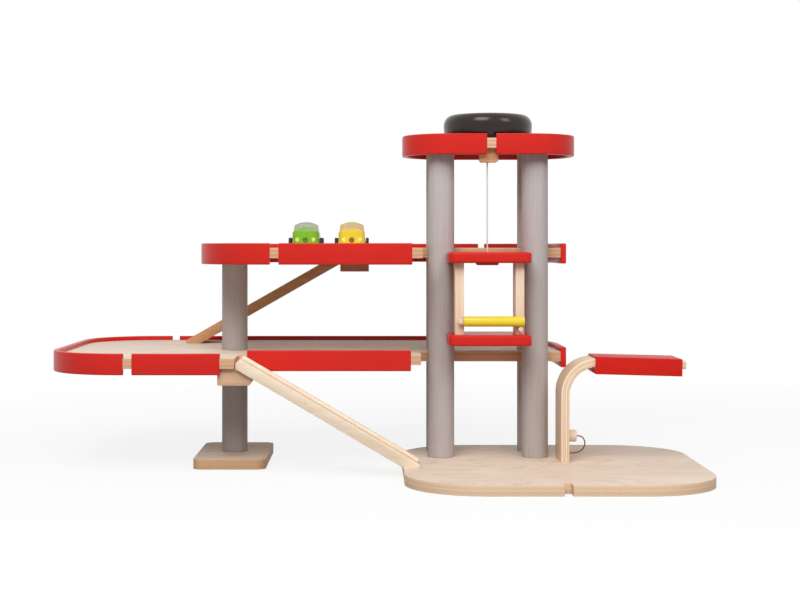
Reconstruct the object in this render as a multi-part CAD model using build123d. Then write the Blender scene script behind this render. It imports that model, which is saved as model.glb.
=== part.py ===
from build123d import *
import math
import os

# Toy parking garage with a crank-up lift, two decks, two lift-off ramps, a fuel pump and two cars.
# Millimetres. Origin: centre of the base board's underside. +X right, +Y back, +Z up.

# ---------------------------------------------------------------- boards and storeys
BOARD_T = 12.0            # plywood thickness of base, decks, roof and foot
BASE_SIDE = 350.0         # base board, square
BASE_CORNER_R = 88.0
BASE_SLOT_W = 9.5         # connector slot in the front edge of the base
BASE_SLOT_DEEP = 19.0
LOW_STOREY = 115.0        # clear height, base top to lower deck
MID_STOREY = 116.0        # clear height, lower deck to upper deck
TOP_STOREY = 120.0        # clear height, upper deck to roof board
EDGE_ROUND = 1.2          # broken edges at the column ends

BASE_TOP = BOARD_T
LOW_Z = BASE_TOP + LOW_STOREY            # underside of the lower deck
LOW_TOP = LOW_Z + BOARD_T
UP_Z = LOW_TOP + MID_STOREY              # underside of the upper deck
UP_TOP = UP_Z + BOARD_T
ROOF_Z = UP_TOP + TOP_STOREY             # underside of the roof board
ROOF_TOP = ROOF_Z + BOARD_T

# ---------------------------------------------------------------- red rims let into the deck edges
RIM_T = 7.0
RIM_H = 25.0
RIM_LIP = 5.5             # how far a rim stands above its deck
RIM_GAP = 10.0            # open joint between two rim strips
RIM_ROUND = 1.5

# ---------------------------------------------------------------- tower
COLUMN_D = 32.0
TOWER_X = -70.0
TOWER_PITCH_X = 114.4
FRONT_COLUMN_Y = 60.0
REAR_COLUMN_Y = 120.0
DOWEL_D = 10.0            # joins the column sections through a deck
DOWEL_DEEP = 12.0         # dowel depth in each column section
DOWEL_CLEAR = 0.05
SCREW_D = 4.0
SCREW_HEAD_D = 8.0
SCREW_LEN = 30.0
SCREW_SINK = 0.4          # head below the surface it is sunk in

TOWER_Y = (FRONT_COLUMN_Y + REAR_COLUMN_Y) / 2
COLUMN_R = COLUMN_D / 2
COLUMN_XS = {"left": TOWER_X - TOWER_PITCH_X / 2, "right": TOWER_X + TOWER_PITCH_X / 2}

# ---------------------------------------------------------------- deck outlines
DECK_RIGHT = 28.0
DECK_REAR = 330.0
DECK_FRONT = -44.0
LOW_LEFT = -596.0
UP_LEFT = -418.0
END_CORNER_R = 90.0       # big corners at the left ends
REAR_RIGHT_R = 170.0      # sweep at the right rear
LANE_CORNER_R = 60.0      # upper deck, beside the rear ramp
SHAFT_LEFT = -153.0       # left side of the lift recess
SHAFT_BACK_CLEAR = 3.0    # front columns to the recess edge
FRONT_JOINT_X = -371.0    # where the front ramp meets the lower deck
REAR_JOINT_X = -236.0     # where the rear ramp meets the upper deck
RAMP_W = 60.0
RAMP_SIDE_CLEAR = 1.0

SHAFT_BACK = FRONT_COLUMN_Y + COLUMN_R + SHAFT_BACK_CLEAR
LANE_IN_Y = DECK_FRONT + RAMP_W + RAMP_SIDE_CLEAR          # lower deck front, set back by the ramp
REAR_LANE_NEAR = 246.0                                     # upper deck, edge of the rear lane

FRONT_GAP_LOW_X = -490.0  # right side of the open joint in the lower front rim
REAR_GAP_LOW_X = -478.0
FRONT_GAP_UP_X = -320.0
REAR_GAP_UP_X = -56.0
NOTCH_LEFT = FRONT_JOINT_X - 17.0        # lower rim ends on both sides of the front ramp
NOTCH_RIGHT = FRONT_JOINT_X + 10.0
SHAFT_RIM_END = SHAFT_LEFT - 12.0        # front rims end before the lift recess
LANE_RIM_END = REAR_JOINT_X - 10.0
FAR = 2000.0              # beyond any edge of the toy

# ---------------------------------------------------------------- support column and foot
SUPPORT_X = -384.0
SUPPORT_Y = 118.0
FOOT_W = 88.0
FOOT_L = 172.0
FOOT_CORNER_R = 12.0

# ---------------------------------------------------------------- ramps
RAMP_ROAD_T = 10.0
RAMP_LIP_H = 3.2
RAMP_LIP_W = 6.0
FRONT_RAMP_RUN = 215.0
REAR_RAMP_RUN = 224.0
RAMP_TIP = 0.6            # road height left at the tip
RAMP_END_GAP = 1.2
RAMP_END_CUT = 5.5        # slanted corner at the top end
LANE_CUT_PAST = 5.0       # lane cutter, past both ends of a ramp
LANE_CUT_UP = 40.0
REST_DROP = 20.0          # ramp rest block, height under the deck
REST_BACK = 20.5          # rest block, behind the joint
FRONT_REST_AHEAD = 21.5   # rest block, under the ramp
FRONT_REST_NOSE = 5.0     # slanted lower corner
REAR_REST_AHEAD = 18.0
REAR_REST_NOSE = 0.0
SEAT_CLEAR = 0.3
REST_INSET = RIM_T + 0.2  # the block clears the rims

# ---------------------------------------------------------------- roof, knob and winding gear
ROOF_X = -68.0            # roof and knob sit slightly right of the columns' middle
ROOF_OVER_X = 32.8        # roof past the columns
ROOF_OVER_Y = 20.0
ROOF_CORNER_R = 60.0
ROOF_GAP = 11.0           # open joint between the two rim halves
KNOB_D = 109.4
KNOB_H = 31.0
KNOB_GAP = 1.0            # knob to roof board
KNOB_EDGE_R = 13.0
KNOB_WALL = 4.0
KNOB_RECESS_H = 12.0
SPINDLE_D = 10.0
RUN_CLEAR = 0.08          # running fit, radial
DRUM_R = 11.0
DRUM_FLANGE = 3.5
DRUM_FLANGE_T = 1.2
CORD_D = 2.0
WASHER_D = 24.0
WASHER_T = 2.4
SPINDLE_IN_KNOB = 10.0
AXIAL_CLEAR = 0.3

ROOF_L = TOWER_PITCH_X + COLUMN_D + 2 * ROOF_OVER_X
ROOF_W = REAR_COLUMN_Y - FRONT_COLUMN_Y + COLUMN_D + 2 * ROOF_OVER_Y
KNOB_Z = ROOF_TOP + KNOB_GAP
KNOB_TOP = KNOB_Z + KNOB_H
RECESS_TOP = KNOB_Z + KNOB_RECESS_H
SPINDLE_TOP = RECESS_TOP + SPINDLE_IN_KNOB
DRUM_Z = ROOF_TOP + AXIAL_CLEAR
WASHER_Z = ROOF_Z - AXIAL_CLEAR - WASHER_T
WIND_R = DRUM_R + CORD_D / 2             # radius at which the cord winds

# ---------------------------------------------------------------- lift cage
CAGE_W = 98.5
CAGE_FRONT = -12.0
CAGE_BACK = 75.0
CAGE_PLATE_T = 13.0
CAGE_FLOOR_Z = 151.0      # underside of the floor plate at rest
CAGE_CLEAR_H = 85.0       # between the two plates
CAGE_CORNER_R = 8.0
CAGE_EDGE_R = 3.0         # rolled front edges of the plates
CAGE_GUIDE_CLEAR = 1.2
CAGE_POST_W = 10.5
CAGE_POST_DEEP = 36.0
CAGE_POST_GAP = 61.0
CAGE_POST_FRONT = 2.0
CORD_X = -72.0            # the cage hangs level: the cord is at its middle
CORD_Y = 44.0
ANCHOR_W = 26.5
ANCHOR_DEEP = 16.0
ANCHOR_H = 3.0
GUIDE_X = -70.3
GUIDE_W = 22.5
GUIDE_CORNER = 2.0
GUIDE_DEEP = 18.0
GUIDE_H = 16.5
CORD_BEND_R = 4.0         # over the edge of the cord hole
CORD_HOLE_D = 3.0

FLOOR_TOP = CAGE_FLOOR_Z + CAGE_PLATE_T
CAGE_TOP_Z = FLOOR_TOP + CAGE_CLEAR_H
CAGE_TOP = CAGE_TOP_Z + CAGE_PLATE_T

# ---------------------------------------------------------------- gate bar of the cage
GATE_D = 12.0
GATE_Z = 180.0
GATE_PIVOT_X = -107.0
GATE_BAR_LEFT = -103.0
GATE_BAR_RIGHT = -31.5
GATE_TONGUE_H = 7.0
GATE_TONGUE_T = 5.0
GATE_CLEAR = 0.8          # bar to the posts
GATE_PIN_D = 4.0
GATE_PIN_HEAD_D = 6.4
GATE_PIN_HEAD_T = 1.6
GATE_PIN_DEEP = 14.0
GATE_REST_D = 6.0
GATE_REST_OUT = 11.0
GATE_REST_DEEP = 8.0
GATE_Y = CAGE_POST_FRONT - GATE_CLEAR - GATE_D / 2

# ---------------------------------------------------------------- fuel pump
ARCH_T = 10.0
ARCH_W = 59.0
ARCH_X = 12.5
ARCH_FRONT = 2.0
ARCH_TOP = 137.0
ARCH_BEND_R = 44.0        # outside radius
ARCH_TIP_X = 161.0
ARCH_DROOP = 1.5          # degrees, arm falling to the right
CANOPY_LEFT = 53.0
CANOPY_RIGHT = 155.5
CANOPY_SKIN = 2.0         # over the arm
CANOPY_SIDE = 4.0         # in front of and behind the arm
CANOPY_H = 20.5
NOZZLE_D = 14.4
NOZZLE_L = 11.5
NOZZLE_Y = 31.0
NOZZLE_Z = 41.0
NOZZLE_PEG_D = 8.0
NOZZLE_PEG_L = 8.0
HOSE_D = 1.5
HOSE_HOLE_Z = 20.6

# ---------------------------------------------------------------- cars
CAR_L = 70.0
CAR_W = 33.0
CAR_BODY_H = 20.2
CAR_CABIN_H = 7.8
CAR_FLOOR = 3.0           # under the body to the road
CAR_ROAD_CLEAR = 0.3      # wheels stand this far off the deck
CAR_XS = {"green": -291.5, "yellow": -236.0}
CAR_FRONT_Y = 23.0
CAR_PLAN_R = 10.0         # nose and tail corners seen from above
CAR_LEAN = 1.2            # sides, inwards over the height
CAR_CROWN = 3.0           # bonnet and roof, arched across
CAR_CORNER_R = 4.0
CAR_NOSE_DROP = 6.0       # bonnet, lower at the nose
CAR_BONNET_L = 20.0
CAR_TAIL_DROP = 1.5
CAR_TAIL_L = 8.0
CABIN_FROM_NOSE = 16.0
CABIN_FROM_TAIL = 9.0
CABIN_SUNK = 6.0          # foot of the cabin's outline inside the body
SCREEN_RAKE = 16.0        # windscreen, top behind its foot
BACK_RAKE = 10.0
CABIN_INSET = 1.4
WHEEL_CHAMFER = 0.5
WHEEL_D = 12.0
WHEEL_W = 3.7
WHEEL_GAP = 0.4
WHEEL_INSET = 14.0        # axle from the end of the body
AXLE_D = 3.0
AXLE_CLEAR = 0.08


# ================================================================= helpers
def box(x0, x1, y0, y1, z0, z1):
    """A box between two corners."""
    middle = ((x0 + x1) / 2, (y0 + y1) / 2, (z0 + z1) / 2)
    return Pos(*middle) * Box(x1 - x0, y1 - y0, z1 - z0)


def rod(x, y, z0, z1, d):
    """An upright cylinder."""
    return Pos(x, y, (z0 + z1) / 2) * Cylinder(d / 2, z1 - z0)


def rod_x(x0, x1, y, z, d):
    """A cylinder along X."""
    return Pos((x0 + x1) / 2, y, z) * Rot(0, 90, 0) * Cylinder(d / 2, x1 - x0)


def rod_y(x, y0, y1, z, d):
    """A cylinder along Y."""
    return Pos(x, (y0 + y1) / 2, z) * Rot(90, 0, 0) * Cylinder(d / 2, y1 - y0)


def area(points):
    """A flat face inside a closed run of straight edges."""
    return make_face(Polyline(*points, close=True).edges())


def round_corner(face, x, y, r):
    """Rounds the one corner of a face that lies at x, y."""
    corner = face.vertices().sort_by_distance((x, y, 0))[0]
    return fillet(corner, r)


def prism(face, z0, z1):
    """Raises a flat face between two heights."""
    return extrude(Pos(0, 0, z0) * face, z1 - z0, dir=(0, 0, 1))


def prism_y(points, y0, y1):
    """Extrudes an X-Z outline between two depths."""
    flat = area([(x, z) for x, z in points])
    standing = Pos(0, y1, 0) * Rot(90, 0, 0) * flat
    return extrude(standing, y1 - y0, dir=(0, -1, 0))


def level_edges(solid, z):
    """Edges that lie in one horizontal plane."""
    return [e for e in solid.edges() if abs(e.bounding_box().min.Z - z) < 1e-4
            and abs(e.bounding_box().max.Z - z) < 1e-4]


# ================================================================= deck outlines
def lower_outline():
    """Outer line of the lower deck with its rims."""
    face = area([
        (LOW_LEFT, DECK_FRONT), (FRONT_JOINT_X, DECK_FRONT), (FRONT_JOINT_X, LANE_IN_Y),
        (SHAFT_LEFT, LANE_IN_Y), (SHAFT_LEFT, SHAFT_BACK), (DECK_RIGHT, SHAFT_BACK),
        (DECK_RIGHT, DECK_REAR), (LOW_LEFT, DECK_REAR),
    ])
    face = round_corner(face, LOW_LEFT, DECK_FRONT, END_CORNER_R)
    face = round_corner(face, LOW_LEFT, DECK_REAR, END_CORNER_R)
    return round_corner(face, DECK_RIGHT, DECK_REAR, REAR_RIGHT_R)


def upper_outline():
    """Outer line of the upper deck with its rims."""
    face = area([
        (UP_LEFT, DECK_FRONT), (SHAFT_LEFT, DECK_FRONT), (SHAFT_LEFT, SHAFT_BACK),
        (DECK_RIGHT, SHAFT_BACK), (DECK_RIGHT, DECK_REAR), (REAR_JOINT_X, DECK_REAR),
        (REAR_JOINT_X, REAR_LANE_NEAR), (UP_LEFT, REAR_LANE_NEAR),
    ])
    face = round_corner(face, UP_LEFT, DECK_FRONT, END_CORNER_R)
    face = round_corner(face, UP_LEFT, REAR_LANE_NEAR, LANE_CORNER_R)
    return round_corner(face, DECK_RIGHT, DECK_REAR, REAR_RIGHT_R)


def roof_outline():
    """Outer line of the oval roof with its rims."""
    return Pos(ROOF_X, TOWER_Y) * RectangleRounded(ROOF_L, ROOF_W, ROOF_CORNER_R)


def rim_band(outline, z_top):
    """The whole ring that the rim strips of one deck are cut from."""
    inner = offset(outline, -RIM_T, kind=Kind.INTERSECTION)
    z0 = z_top + RIM_LIP - RIM_H
    return prism(outline, z0, z0 + RIM_H) - prism(inner, z0 - 1, z0 + RIM_H + 1)


def rim_strip(band, regions, z_top):
    """One bent strip: the part of the ring inside the given plan regions."""
    z0 = z_top + RIM_LIP - RIM_H
    keep = [box(x0, x1, y0, y1, z0 - 1, z0 + RIM_H + 1) for x0, x1, y0, y1 in regions]
    tool = keep[0]
    for more in keep[1:]:
        tool = tool + more
    strip = (band & tool).solids().sort_by(SortBy.VOLUME)[-1]
    long_edges = level_edges(strip, z0) + level_edges(strip, z0 + RIM_H)
    return chamfer(long_edges, RIM_ROUND / 2)


def deck(outline, z0, strips, holes):
    """A plywood deck with rebates for its rims and holes for the dowels."""
    board = prism(outline, z0, z0 + BOARD_T)
    for strip in strips:
        board = board - strip
    for x, y in holes:
        board = board - rod(x, y, z0 - 1, z0 + BOARD_T + 1, DOWEL_D + 2 * DOWEL_CLEAR)
    return board


# ================================================================= rims
def lower_rims():
    """The four strips round the lower deck."""
    band = rim_band(lower_outline(), LOW_TOP)
    middle_y = (DECK_FRONT + DECK_REAR) / 2
    regions = {
        "lower_rim_left": [(-FAR, FRONT_GAP_LOW_X - RIM_GAP, -FAR, middle_y),
                           (-FAR, REAR_GAP_LOW_X - RIM_GAP, middle_y - 1, FAR)],
        "lower_rim_front_left": [(FRONT_GAP_LOW_X, NOTCH_LEFT, -FAR, DECK_FRONT + RIM_T + 1)],
        "lower_rim_front_right": [(NOTCH_RIGHT, SHAFT_RIM_END, -FAR, LANE_IN_Y + RIM_T + 1)],
        "lower_rim_rear": [(REAR_GAP_LOW_X, DECK_RIGHT - RIM_T - 0.01, DECK_REAR - REAR_RIGHT_R, FAR),
                           (DECK_RIGHT - RIM_T - 0.01, FAR, SHAFT_BACK, FAR)],
    }
    return {name: rim_strip(band, boxes, LOW_TOP) for name, boxes in regions.items()}


def upper_rims():
    """The four strips round the upper deck."""
    bare_joint = box(REAR_JOINT_X - 1, REAR_JOINT_X + RIM_T + 1, REAR_LANE_NEAR - RIM_T - 1,
                     DECK_REAR - RIM_T, UP_Z - RIM_H, UP_TOP + RIM_H)
    band = rim_band(upper_outline(), UP_TOP) - bare_joint
    middle_y = (DECK_FRONT + REAR_LANE_NEAR) / 2
    regions = {
        "upper_rim_left": [(-FAR, FRONT_GAP_UP_X - RIM_GAP, -FAR, middle_y),
                           (-FAR, LANE_RIM_END, middle_y - 1, REAR_LANE_NEAR + 1)],
        "upper_rim_front": [(FRONT_GAP_UP_X, SHAFT_RIM_END, -FAR, DECK_FRONT + RIM_T + 1)],
        "upper_rim_rear": [(REAR_JOINT_X, REAR_GAP_UP_X - RIM_GAP, DECK_REAR - REAR_RIGHT_R, FAR)],
        "upper_rim_right": [(REAR_GAP_UP_X, DECK_RIGHT - RIM_T - 0.01, DECK_REAR - REAR_RIGHT_R, FAR),
                            (DECK_RIGHT - RIM_T - 0.01, FAR, SHAFT_BACK, FAR)],
    }
    return {name: rim_strip(band, boxes, UP_TOP) for name, boxes in regions.items()}


def roof_rims():
    """Two bent halves with open joints at the front and the rear."""
    band = rim_band(roof_outline(), ROOF_TOP)
    return {
        "roof_rim_left": rim_strip(band, [(-FAR, ROOF_X - ROOF_GAP / 2, -FAR, FAR)], ROOF_TOP),
        "roof_rim_right": rim_strip(band, [(ROOF_X + ROOF_GAP / 2, FAR, -FAR, FAR)], ROOF_TOP),
    }


# ================================================================= boards
def base_board():
    """Square base with big round corners, a connector slot and countersunk screw holes."""
    face = RectangleRounded(BASE_SIDE, BASE_SIDE, BASE_CORNER_R)
    front = -BASE_SIDE / 2
    slot_r = BASE_SLOT_W / 2
    face = face - Pos(0, front + (BASE_SLOT_DEEP - slot_r) / 2) * Rectangle(
        BASE_SLOT_W, BASE_SLOT_DEEP - slot_r)
    face = face - Pos(0, front + BASE_SLOT_DEEP - slot_r) * Circle(slot_r)
    board = prism(face, 0, BOARD_T)
    for x, y in base_screw_places():
        board = board - screw_hole(x, y)
    return board


def base_screw_places():
    """Screws up through the base: one in each tower column and two in the pump post."""
    places = [(x, y) for x in COLUMN_XS.values() for y in (FRONT_COLUMN_Y, REAR_COLUMN_Y)]
    post_x = ARCH_X + ARCH_T / 2
    return places + [(post_x, ARCH_FRONT + ARCH_W * share) for share in (0.25, 0.75)]


def screw(x, y):
    """A countersunk wood screw driven up from below."""
    head_h = (SCREW_HEAD_D - SCREW_D) / 2
    head = Pos(x, y, SCREW_SINK + head_h / 2) * Cone(SCREW_HEAD_D / 2, SCREW_D / 2, head_h)
    return head + rod(x, y, SCREW_SINK + head_h / 2, SCREW_LEN, SCREW_D)


def screw_hole(x, y):
    """Clearance for the screw in a board."""
    head_h = (SCREW_HEAD_D - SCREW_D) / 2
    wide = DOWEL_CLEAR * 2
    cone = Pos(x, y, SCREW_SINK + head_h / 2) * Cone(
        SCREW_HEAD_D / 2 + wide, SCREW_D / 2 + wide, head_h)
    mouth = rod(x, y, -1, SCREW_SINK + 0.01, SCREW_HEAD_D + 2 * wide)
    return mouth + cone + rod(x, y, 0, SCREW_LEN + 1, SCREW_D + 2 * wide)


def foot_plate():
    """Oblong foot under the support column."""
    face = Pos(SUPPORT_X, SUPPORT_Y) * RectangleRounded(FOOT_W, FOOT_L, FOOT_CORNER_R)
    return prism(face, 0, BOARD_T) - screw_hole(SUPPORT_X, SUPPORT_Y)


def roof_board(strips):
    """Oval roof board with the spindle hole and the cord hole."""
    board = prism(roof_outline(), ROOF_Z, ROOF_TOP)
    for strip in strips:
        board = board - strip
    board = board - rod(ROOF_X, TOWER_Y, ROOF_Z - 1, ROOF_TOP + 1, SPINDLE_D + 2 * RUN_CLEAR)
    return board - rod(CORD_X, CORD_Y, ROOF_Z - 1, ROOF_TOP + 1, CORD_HOLE_D)


# ================================================================= columns
def column(x, y, z0, z1, dowel_below, dowel_above, screwed=False):
    """A round column section with dowel bores or a screw bore in its ends."""
    body = rod(x, y, z0, z1, COLUMN_D)
    body = chamfer(body.edges().filter_by(GeomType.CIRCLE), EDGE_ROUND)
    bore_d = DOWEL_D + 2 * DOWEL_CLEAR
    deep = DOWEL_DEEP + AXIAL_CLEAR
    if dowel_below:
        body = body - rod(x, y, z0 - 1, z0 + deep, bore_d)
    if dowel_above:
        body = body - rod(x, y, z1 - deep, z1 + 1, bore_d)
    if screwed:
        body = body - rod(x, y, z0 - 1, SCREW_LEN + AXIAL_CLEAR, SCREW_D + 4 * DOWEL_CLEAR)
    return body


def dowels(z_deck, places):
    """Wooden dowels that join column sections through one deck."""
    return [rod(x, y, z_deck - DOWEL_DEEP, z_deck + BOARD_T + DOWEL_DEEP, DOWEL_D) for x, y in places]


def columns():
    """All column sections by name."""
    made = {}
    for side, x in COLUMN_XS.items():
        made["front_column_" + side] = column(
            x, FRONT_COLUMN_Y, BASE_TOP, ROOF_Z, False, False, True)
        made["rear_column_low_" + side] = column(
            x, REAR_COLUMN_Y, BASE_TOP, LOW_Z, False, True, True)
        made["rear_column_mid_" + side] = column(x, REAR_COLUMN_Y, LOW_TOP, UP_Z, True, True)
        made["rear_column_top_" + side] = column(x, REAR_COLUMN_Y, UP_TOP, ROOF_Z, True, False)
    made["support_column_low"] = column(SUPPORT_X, SUPPORT_Y, BOARD_T, LOW_Z, False, True, True)
    made["support_column_up"] = column(SUPPORT_X, SUPPORT_Y, LOW_TOP, UP_Z, True, False)
    return made


# ================================================================= ramps
def ramp(joint_x, toward, run, z_high, z_low, y0):
    """A lift-off ramp with a routed lane between two low lips."""
    drop = z_high - z_low - RAMP_TIP
    slope = drop / run
    steep = math.sqrt(1 + slope * slope)
    road = lambda d: z_high - slope * d          # road height at a distance from the joint
    under = lambda d: road(d) - RAMP_ROAD_T * steep
    lip = lambda d: road(d) + RAMP_LIP_H * steep
    heel = (z_high - RAMP_ROAD_T * steep - z_low) / slope
    start = RAMP_END_GAP
    side = [(start, under(start)), (heel, z_low), (run, z_low), (run, lip(run)),
            (start + RAMP_END_CUT, lip(start + RAMP_END_CUT)),
            (start, lip(start + RAMP_END_CUT) - RAMP_END_CUT)]
    near, far, above = -LANE_CUT_PAST, run + LANE_CUT_PAST, z_high + LANE_CUT_UP
    lane = [(near, road(near)), (far, road(far)), (far, above), (near, above)]
    place = lambda points: [(joint_x + toward * d, z) for d, z in points]
    body = prism_y(place(side), y0, y0 + RAMP_W)
    return body - prism_y(place(lane), y0 + RAMP_LIP_W, y0 + RAMP_W - RAMP_LIP_W)


def ramp_rest(joint_x, toward, run, z_high, z_low, y0, ahead, nose):
    """Block under the deck edge with a slanted seat for the ramp."""
    slope = (z_high - z_low - RAMP_TIP) / run
    steep = math.sqrt(1 + slope * slope)
    seat = lambda d: z_high - slope * d - RAMP_ROAD_T * steep - SEAT_CLEAR
    deck_z = z_high - BOARD_T
    low = deck_z - REST_DROP
    outline = [(-REST_BACK, deck_z), (-REST_BACK, low), (ahead - nose, low), (ahead, seat(ahead)),
               (0, deck_z)]
    points = [(joint_x + toward * d, z) for d, z in outline]
    return prism_y(points, y0 + REST_INSET, y0 + RAMP_W - REST_INSET)


# ================================================================= roof mechanism
def lift_knob():
    """Turned knob with a rolled edge and a recess for the cord drum."""
    body = rod(ROOF_X, TOWER_Y, KNOB_Z, KNOB_TOP, KNOB_D)
    body = fillet(body.edges().filter_by(GeomType.CIRCLE).sort_by(Axis.Z)[-1], KNOB_EDGE_R)
    body = chamfer(body.edges().filter_by(GeomType.CIRCLE).sort_by(Axis.Z)[0], RIM_ROUND)
    recess = rod(ROOF_X, TOWER_Y, KNOB_Z - 1, RECESS_TOP, KNOB_D - 2 * KNOB_WALL)
    return body - recess - rod(ROOF_X, TOWER_Y, RECESS_TOP - 1, SPINDLE_TOP, SPINDLE_D)


def cord_drum():
    """Flanged drum under the knob."""
    top = RECESS_TOP
    drum = rod(ROOF_X, TOWER_Y, DRUM_Z, top, 2 * DRUM_R)
    flange_d = 2 * (DRUM_R + DRUM_FLANGE)
    drum = drum + rod(ROOF_X, TOWER_Y, DRUM_Z, DRUM_Z + DRUM_FLANGE_T, flange_d)
    drum = drum + rod(ROOF_X, TOWER_Y, top - DRUM_FLANGE_T, top, flange_d)
    return drum - rod(ROOF_X, TOWER_Y, DRUM_Z - 1, top + 1, SPINDLE_D)


def cord_winding():
    """Cord wound on the drum, hidden in the knob: a plain sleeve."""
    z0 = DRUM_Z + DRUM_FLANGE_T
    z1 = RECESS_TOP - DRUM_FLANGE_T
    sleeve = rod(ROOF_X, TOWER_Y, z0, z1, 2 * (DRUM_R + CORD_D))
    return sleeve - rod(ROOF_X, TOWER_Y, z0 - 1, z1 + 1, 2 * DRUM_R)


def knob_spindle():
    """Dowel that carries the knob and the drum through the roof board."""
    pilot = rod(ROOF_X, TOWER_Y, WASHER_Z - 1, WASHER_Z + WASHER_T + SCREW_LEN / 2, SCREW_D)
    return rod(ROOF_X, TOWER_Y, WASHER_Z + WASHER_T, SPINDLE_TOP, SPINDLE_D) - pilot


def spindle_washer():
    """Washer that holds the spindle up against the roof board."""
    ring = rod(ROOF_X, TOWER_Y, WASHER_Z, WASHER_Z + WASHER_T, WASHER_D)
    return ring - rod(ROOF_X, TOWER_Y, WASHER_Z - 1, WASHER_Z + WASHER_T + 1, SCREW_D)


def spindle_screw():
    """Pan-head screw up into the spindle."""
    head = rod(ROOF_X, TOWER_Y, WASHER_Z - DRUM_FLANGE_T, WASHER_Z, SCREW_HEAD_D)
    return head + rod(ROOF_X, TOWER_Y, WASHER_Z, WASHER_Z + WASHER_T + SCREW_LEN / 2, SCREW_D)


def cord_guide():
    """Block under the roof front that turns the lift cord downwards."""
    block = box(GUIDE_X - GUIDE_W / 2, GUIDE_X + GUIDE_W / 2, CORD_Y - GUIDE_DEEP / 2,
                CORD_Y + GUIDE_DEEP / 2, ROOF_Z - GUIDE_H, ROOF_Z)
    block = chamfer(block.edges().filter_by(Axis.Y).sort_by(Axis.Z)[:2], GUIDE_CORNER)
    return block - rod(CORD_X, CORD_Y, ROOF_Z - GUIDE_H - 1, ROOF_Z + 1, CORD_HOLE_D)


def lift_cord_run():
    """Cord from the drum over the roof board and down through the guide block."""
    z = DRUM_Z + DRUM_FLANGE_T + CORD_D
    reach = WIND_R + CORD_D + AXIAL_CLEAR
    dx, dy = ROOF_X - CORD_X, TOWER_Y - CORD_Y
    span = math.hypot(dx, dy)
    length = math.sqrt(span * span - reach * reach)
    heading = math.atan2(dy, dx) - math.asin(reach / span)
    start = (CORD_X + length * math.cos(heading), CORD_Y + length * math.sin(heading), z)
    path = FilletPolyline(start, (CORD_X, CORD_Y, z), (CORD_X, CORD_Y, ROOF_Z - GUIDE_H),
                          radius=CORD_BEND_R)
    section = Plane(origin=path @ 0, z_dir=path % 0) * Circle(CORD_D / 2)
    return sweep(section, path=path)


def lift_cord():
    """The cord from the guide block down to its anchor under the cage's top plate."""
    return rod(CORD_X, CORD_Y, CAGE_TOP_Z - ANCHOR_H, ROOF_Z - GUIDE_H, CORD_D)


# ================================================================= lift cage
def cage_outline():
    """Plate outline: a rectangle with round notches that run on the front columns."""
    plate = area([
        (CORD_X - CAGE_W / 2, CAGE_FRONT), (CORD_X + CAGE_W / 2, CAGE_FRONT),
        (CORD_X + CAGE_W / 2, CAGE_BACK), (CORD_X - CAGE_W / 2, CAGE_BACK),
    ])
    for x in (CORD_X - CAGE_W / 2, CORD_X + CAGE_W / 2):
        plate = round_corner(plate, x, CAGE_FRONT, CAGE_CORNER_R)
    for x in COLUMN_XS.values():
        plate = plate - Pos(x, FRONT_COLUMN_Y) * Circle(COLUMN_R + CAGE_GUIDE_CLEAR)
    return plate


def cage_plate(z0):
    """One red plate of the cage, rounded along its front edge."""
    plate = prism(cage_outline(), z0, z0 + CAGE_PLATE_T)
    front = [e for z in (z0, z0 + CAGE_PLATE_T) for e in level_edges(plate, z)
             if e.bounding_box().max.Y < CAGE_FRONT + CAGE_CORNER_R + 0.01]
    return fillet(front, CAGE_EDGE_R)


def cage_top():
    """Upper plate with the cord hole."""
    return cage_plate(CAGE_TOP_Z) - rod(CORD_X, CORD_Y, CAGE_TOP_Z - 1, CAGE_TOP + 1, CORD_HOLE_D)


def cage_post(side):
    """Flat wooden side post."""
    sign = {"left": -1, "right": 1}[side]
    inner = CORD_X + sign * CAGE_POST_GAP / 2
    outer = inner + sign * CAGE_POST_W
    post = box(min(inner, outer), max(inner, outer), CAGE_POST_FRONT,
               CAGE_POST_FRONT + CAGE_POST_DEEP, FLOOR_TOP, CAGE_TOP_Z)
    if side == "left":
        return post - rod_y(GATE_PIVOT_X, CAGE_POST_FRONT - 1, CAGE_POST_FRONT + GATE_PIN_DEEP,
                            GATE_Z, GATE_PIN_D)
    return post - rod_y(gate_rest_x(), CAGE_POST_FRONT - 1, CAGE_POST_FRONT + GATE_REST_DEEP,
                        gate_rest_z(), GATE_REST_D)


def gate_rest_x():
    """The rest peg stands at the middle of the right post."""
    return CORD_X + CAGE_POST_GAP / 2 + CAGE_POST_W / 2


def gate_rest_z():
    """The bar lies on the rest peg."""
    return GATE_Z - GATE_D / 2 - GATE_REST_D / 2 - SEAT_CLEAR


def gate_rest():
    """Peg on the right post that the lowered bar lies on."""
    return rod_y(gate_rest_x(), CAGE_POST_FRONT - GATE_REST_OUT, CAGE_POST_FRONT + GATE_REST_DEEP,
                 gate_rest_z(), GATE_REST_D)


def gate_pin():
    """Headed pin that the bar turns on."""
    tongue_front = GATE_Y - GATE_TONGUE_T / 2
    head_y = tongue_front - AXIAL_CLEAR
    shaft = rod_y(GATE_PIVOT_X, head_y, CAGE_POST_FRONT + GATE_PIN_DEEP, GATE_Z, GATE_PIN_D)
    return shaft + rod_y(GATE_PIVOT_X, head_y - GATE_PIN_HEAD_T, head_y, GATE_Z, GATE_PIN_HEAD_D)


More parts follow.
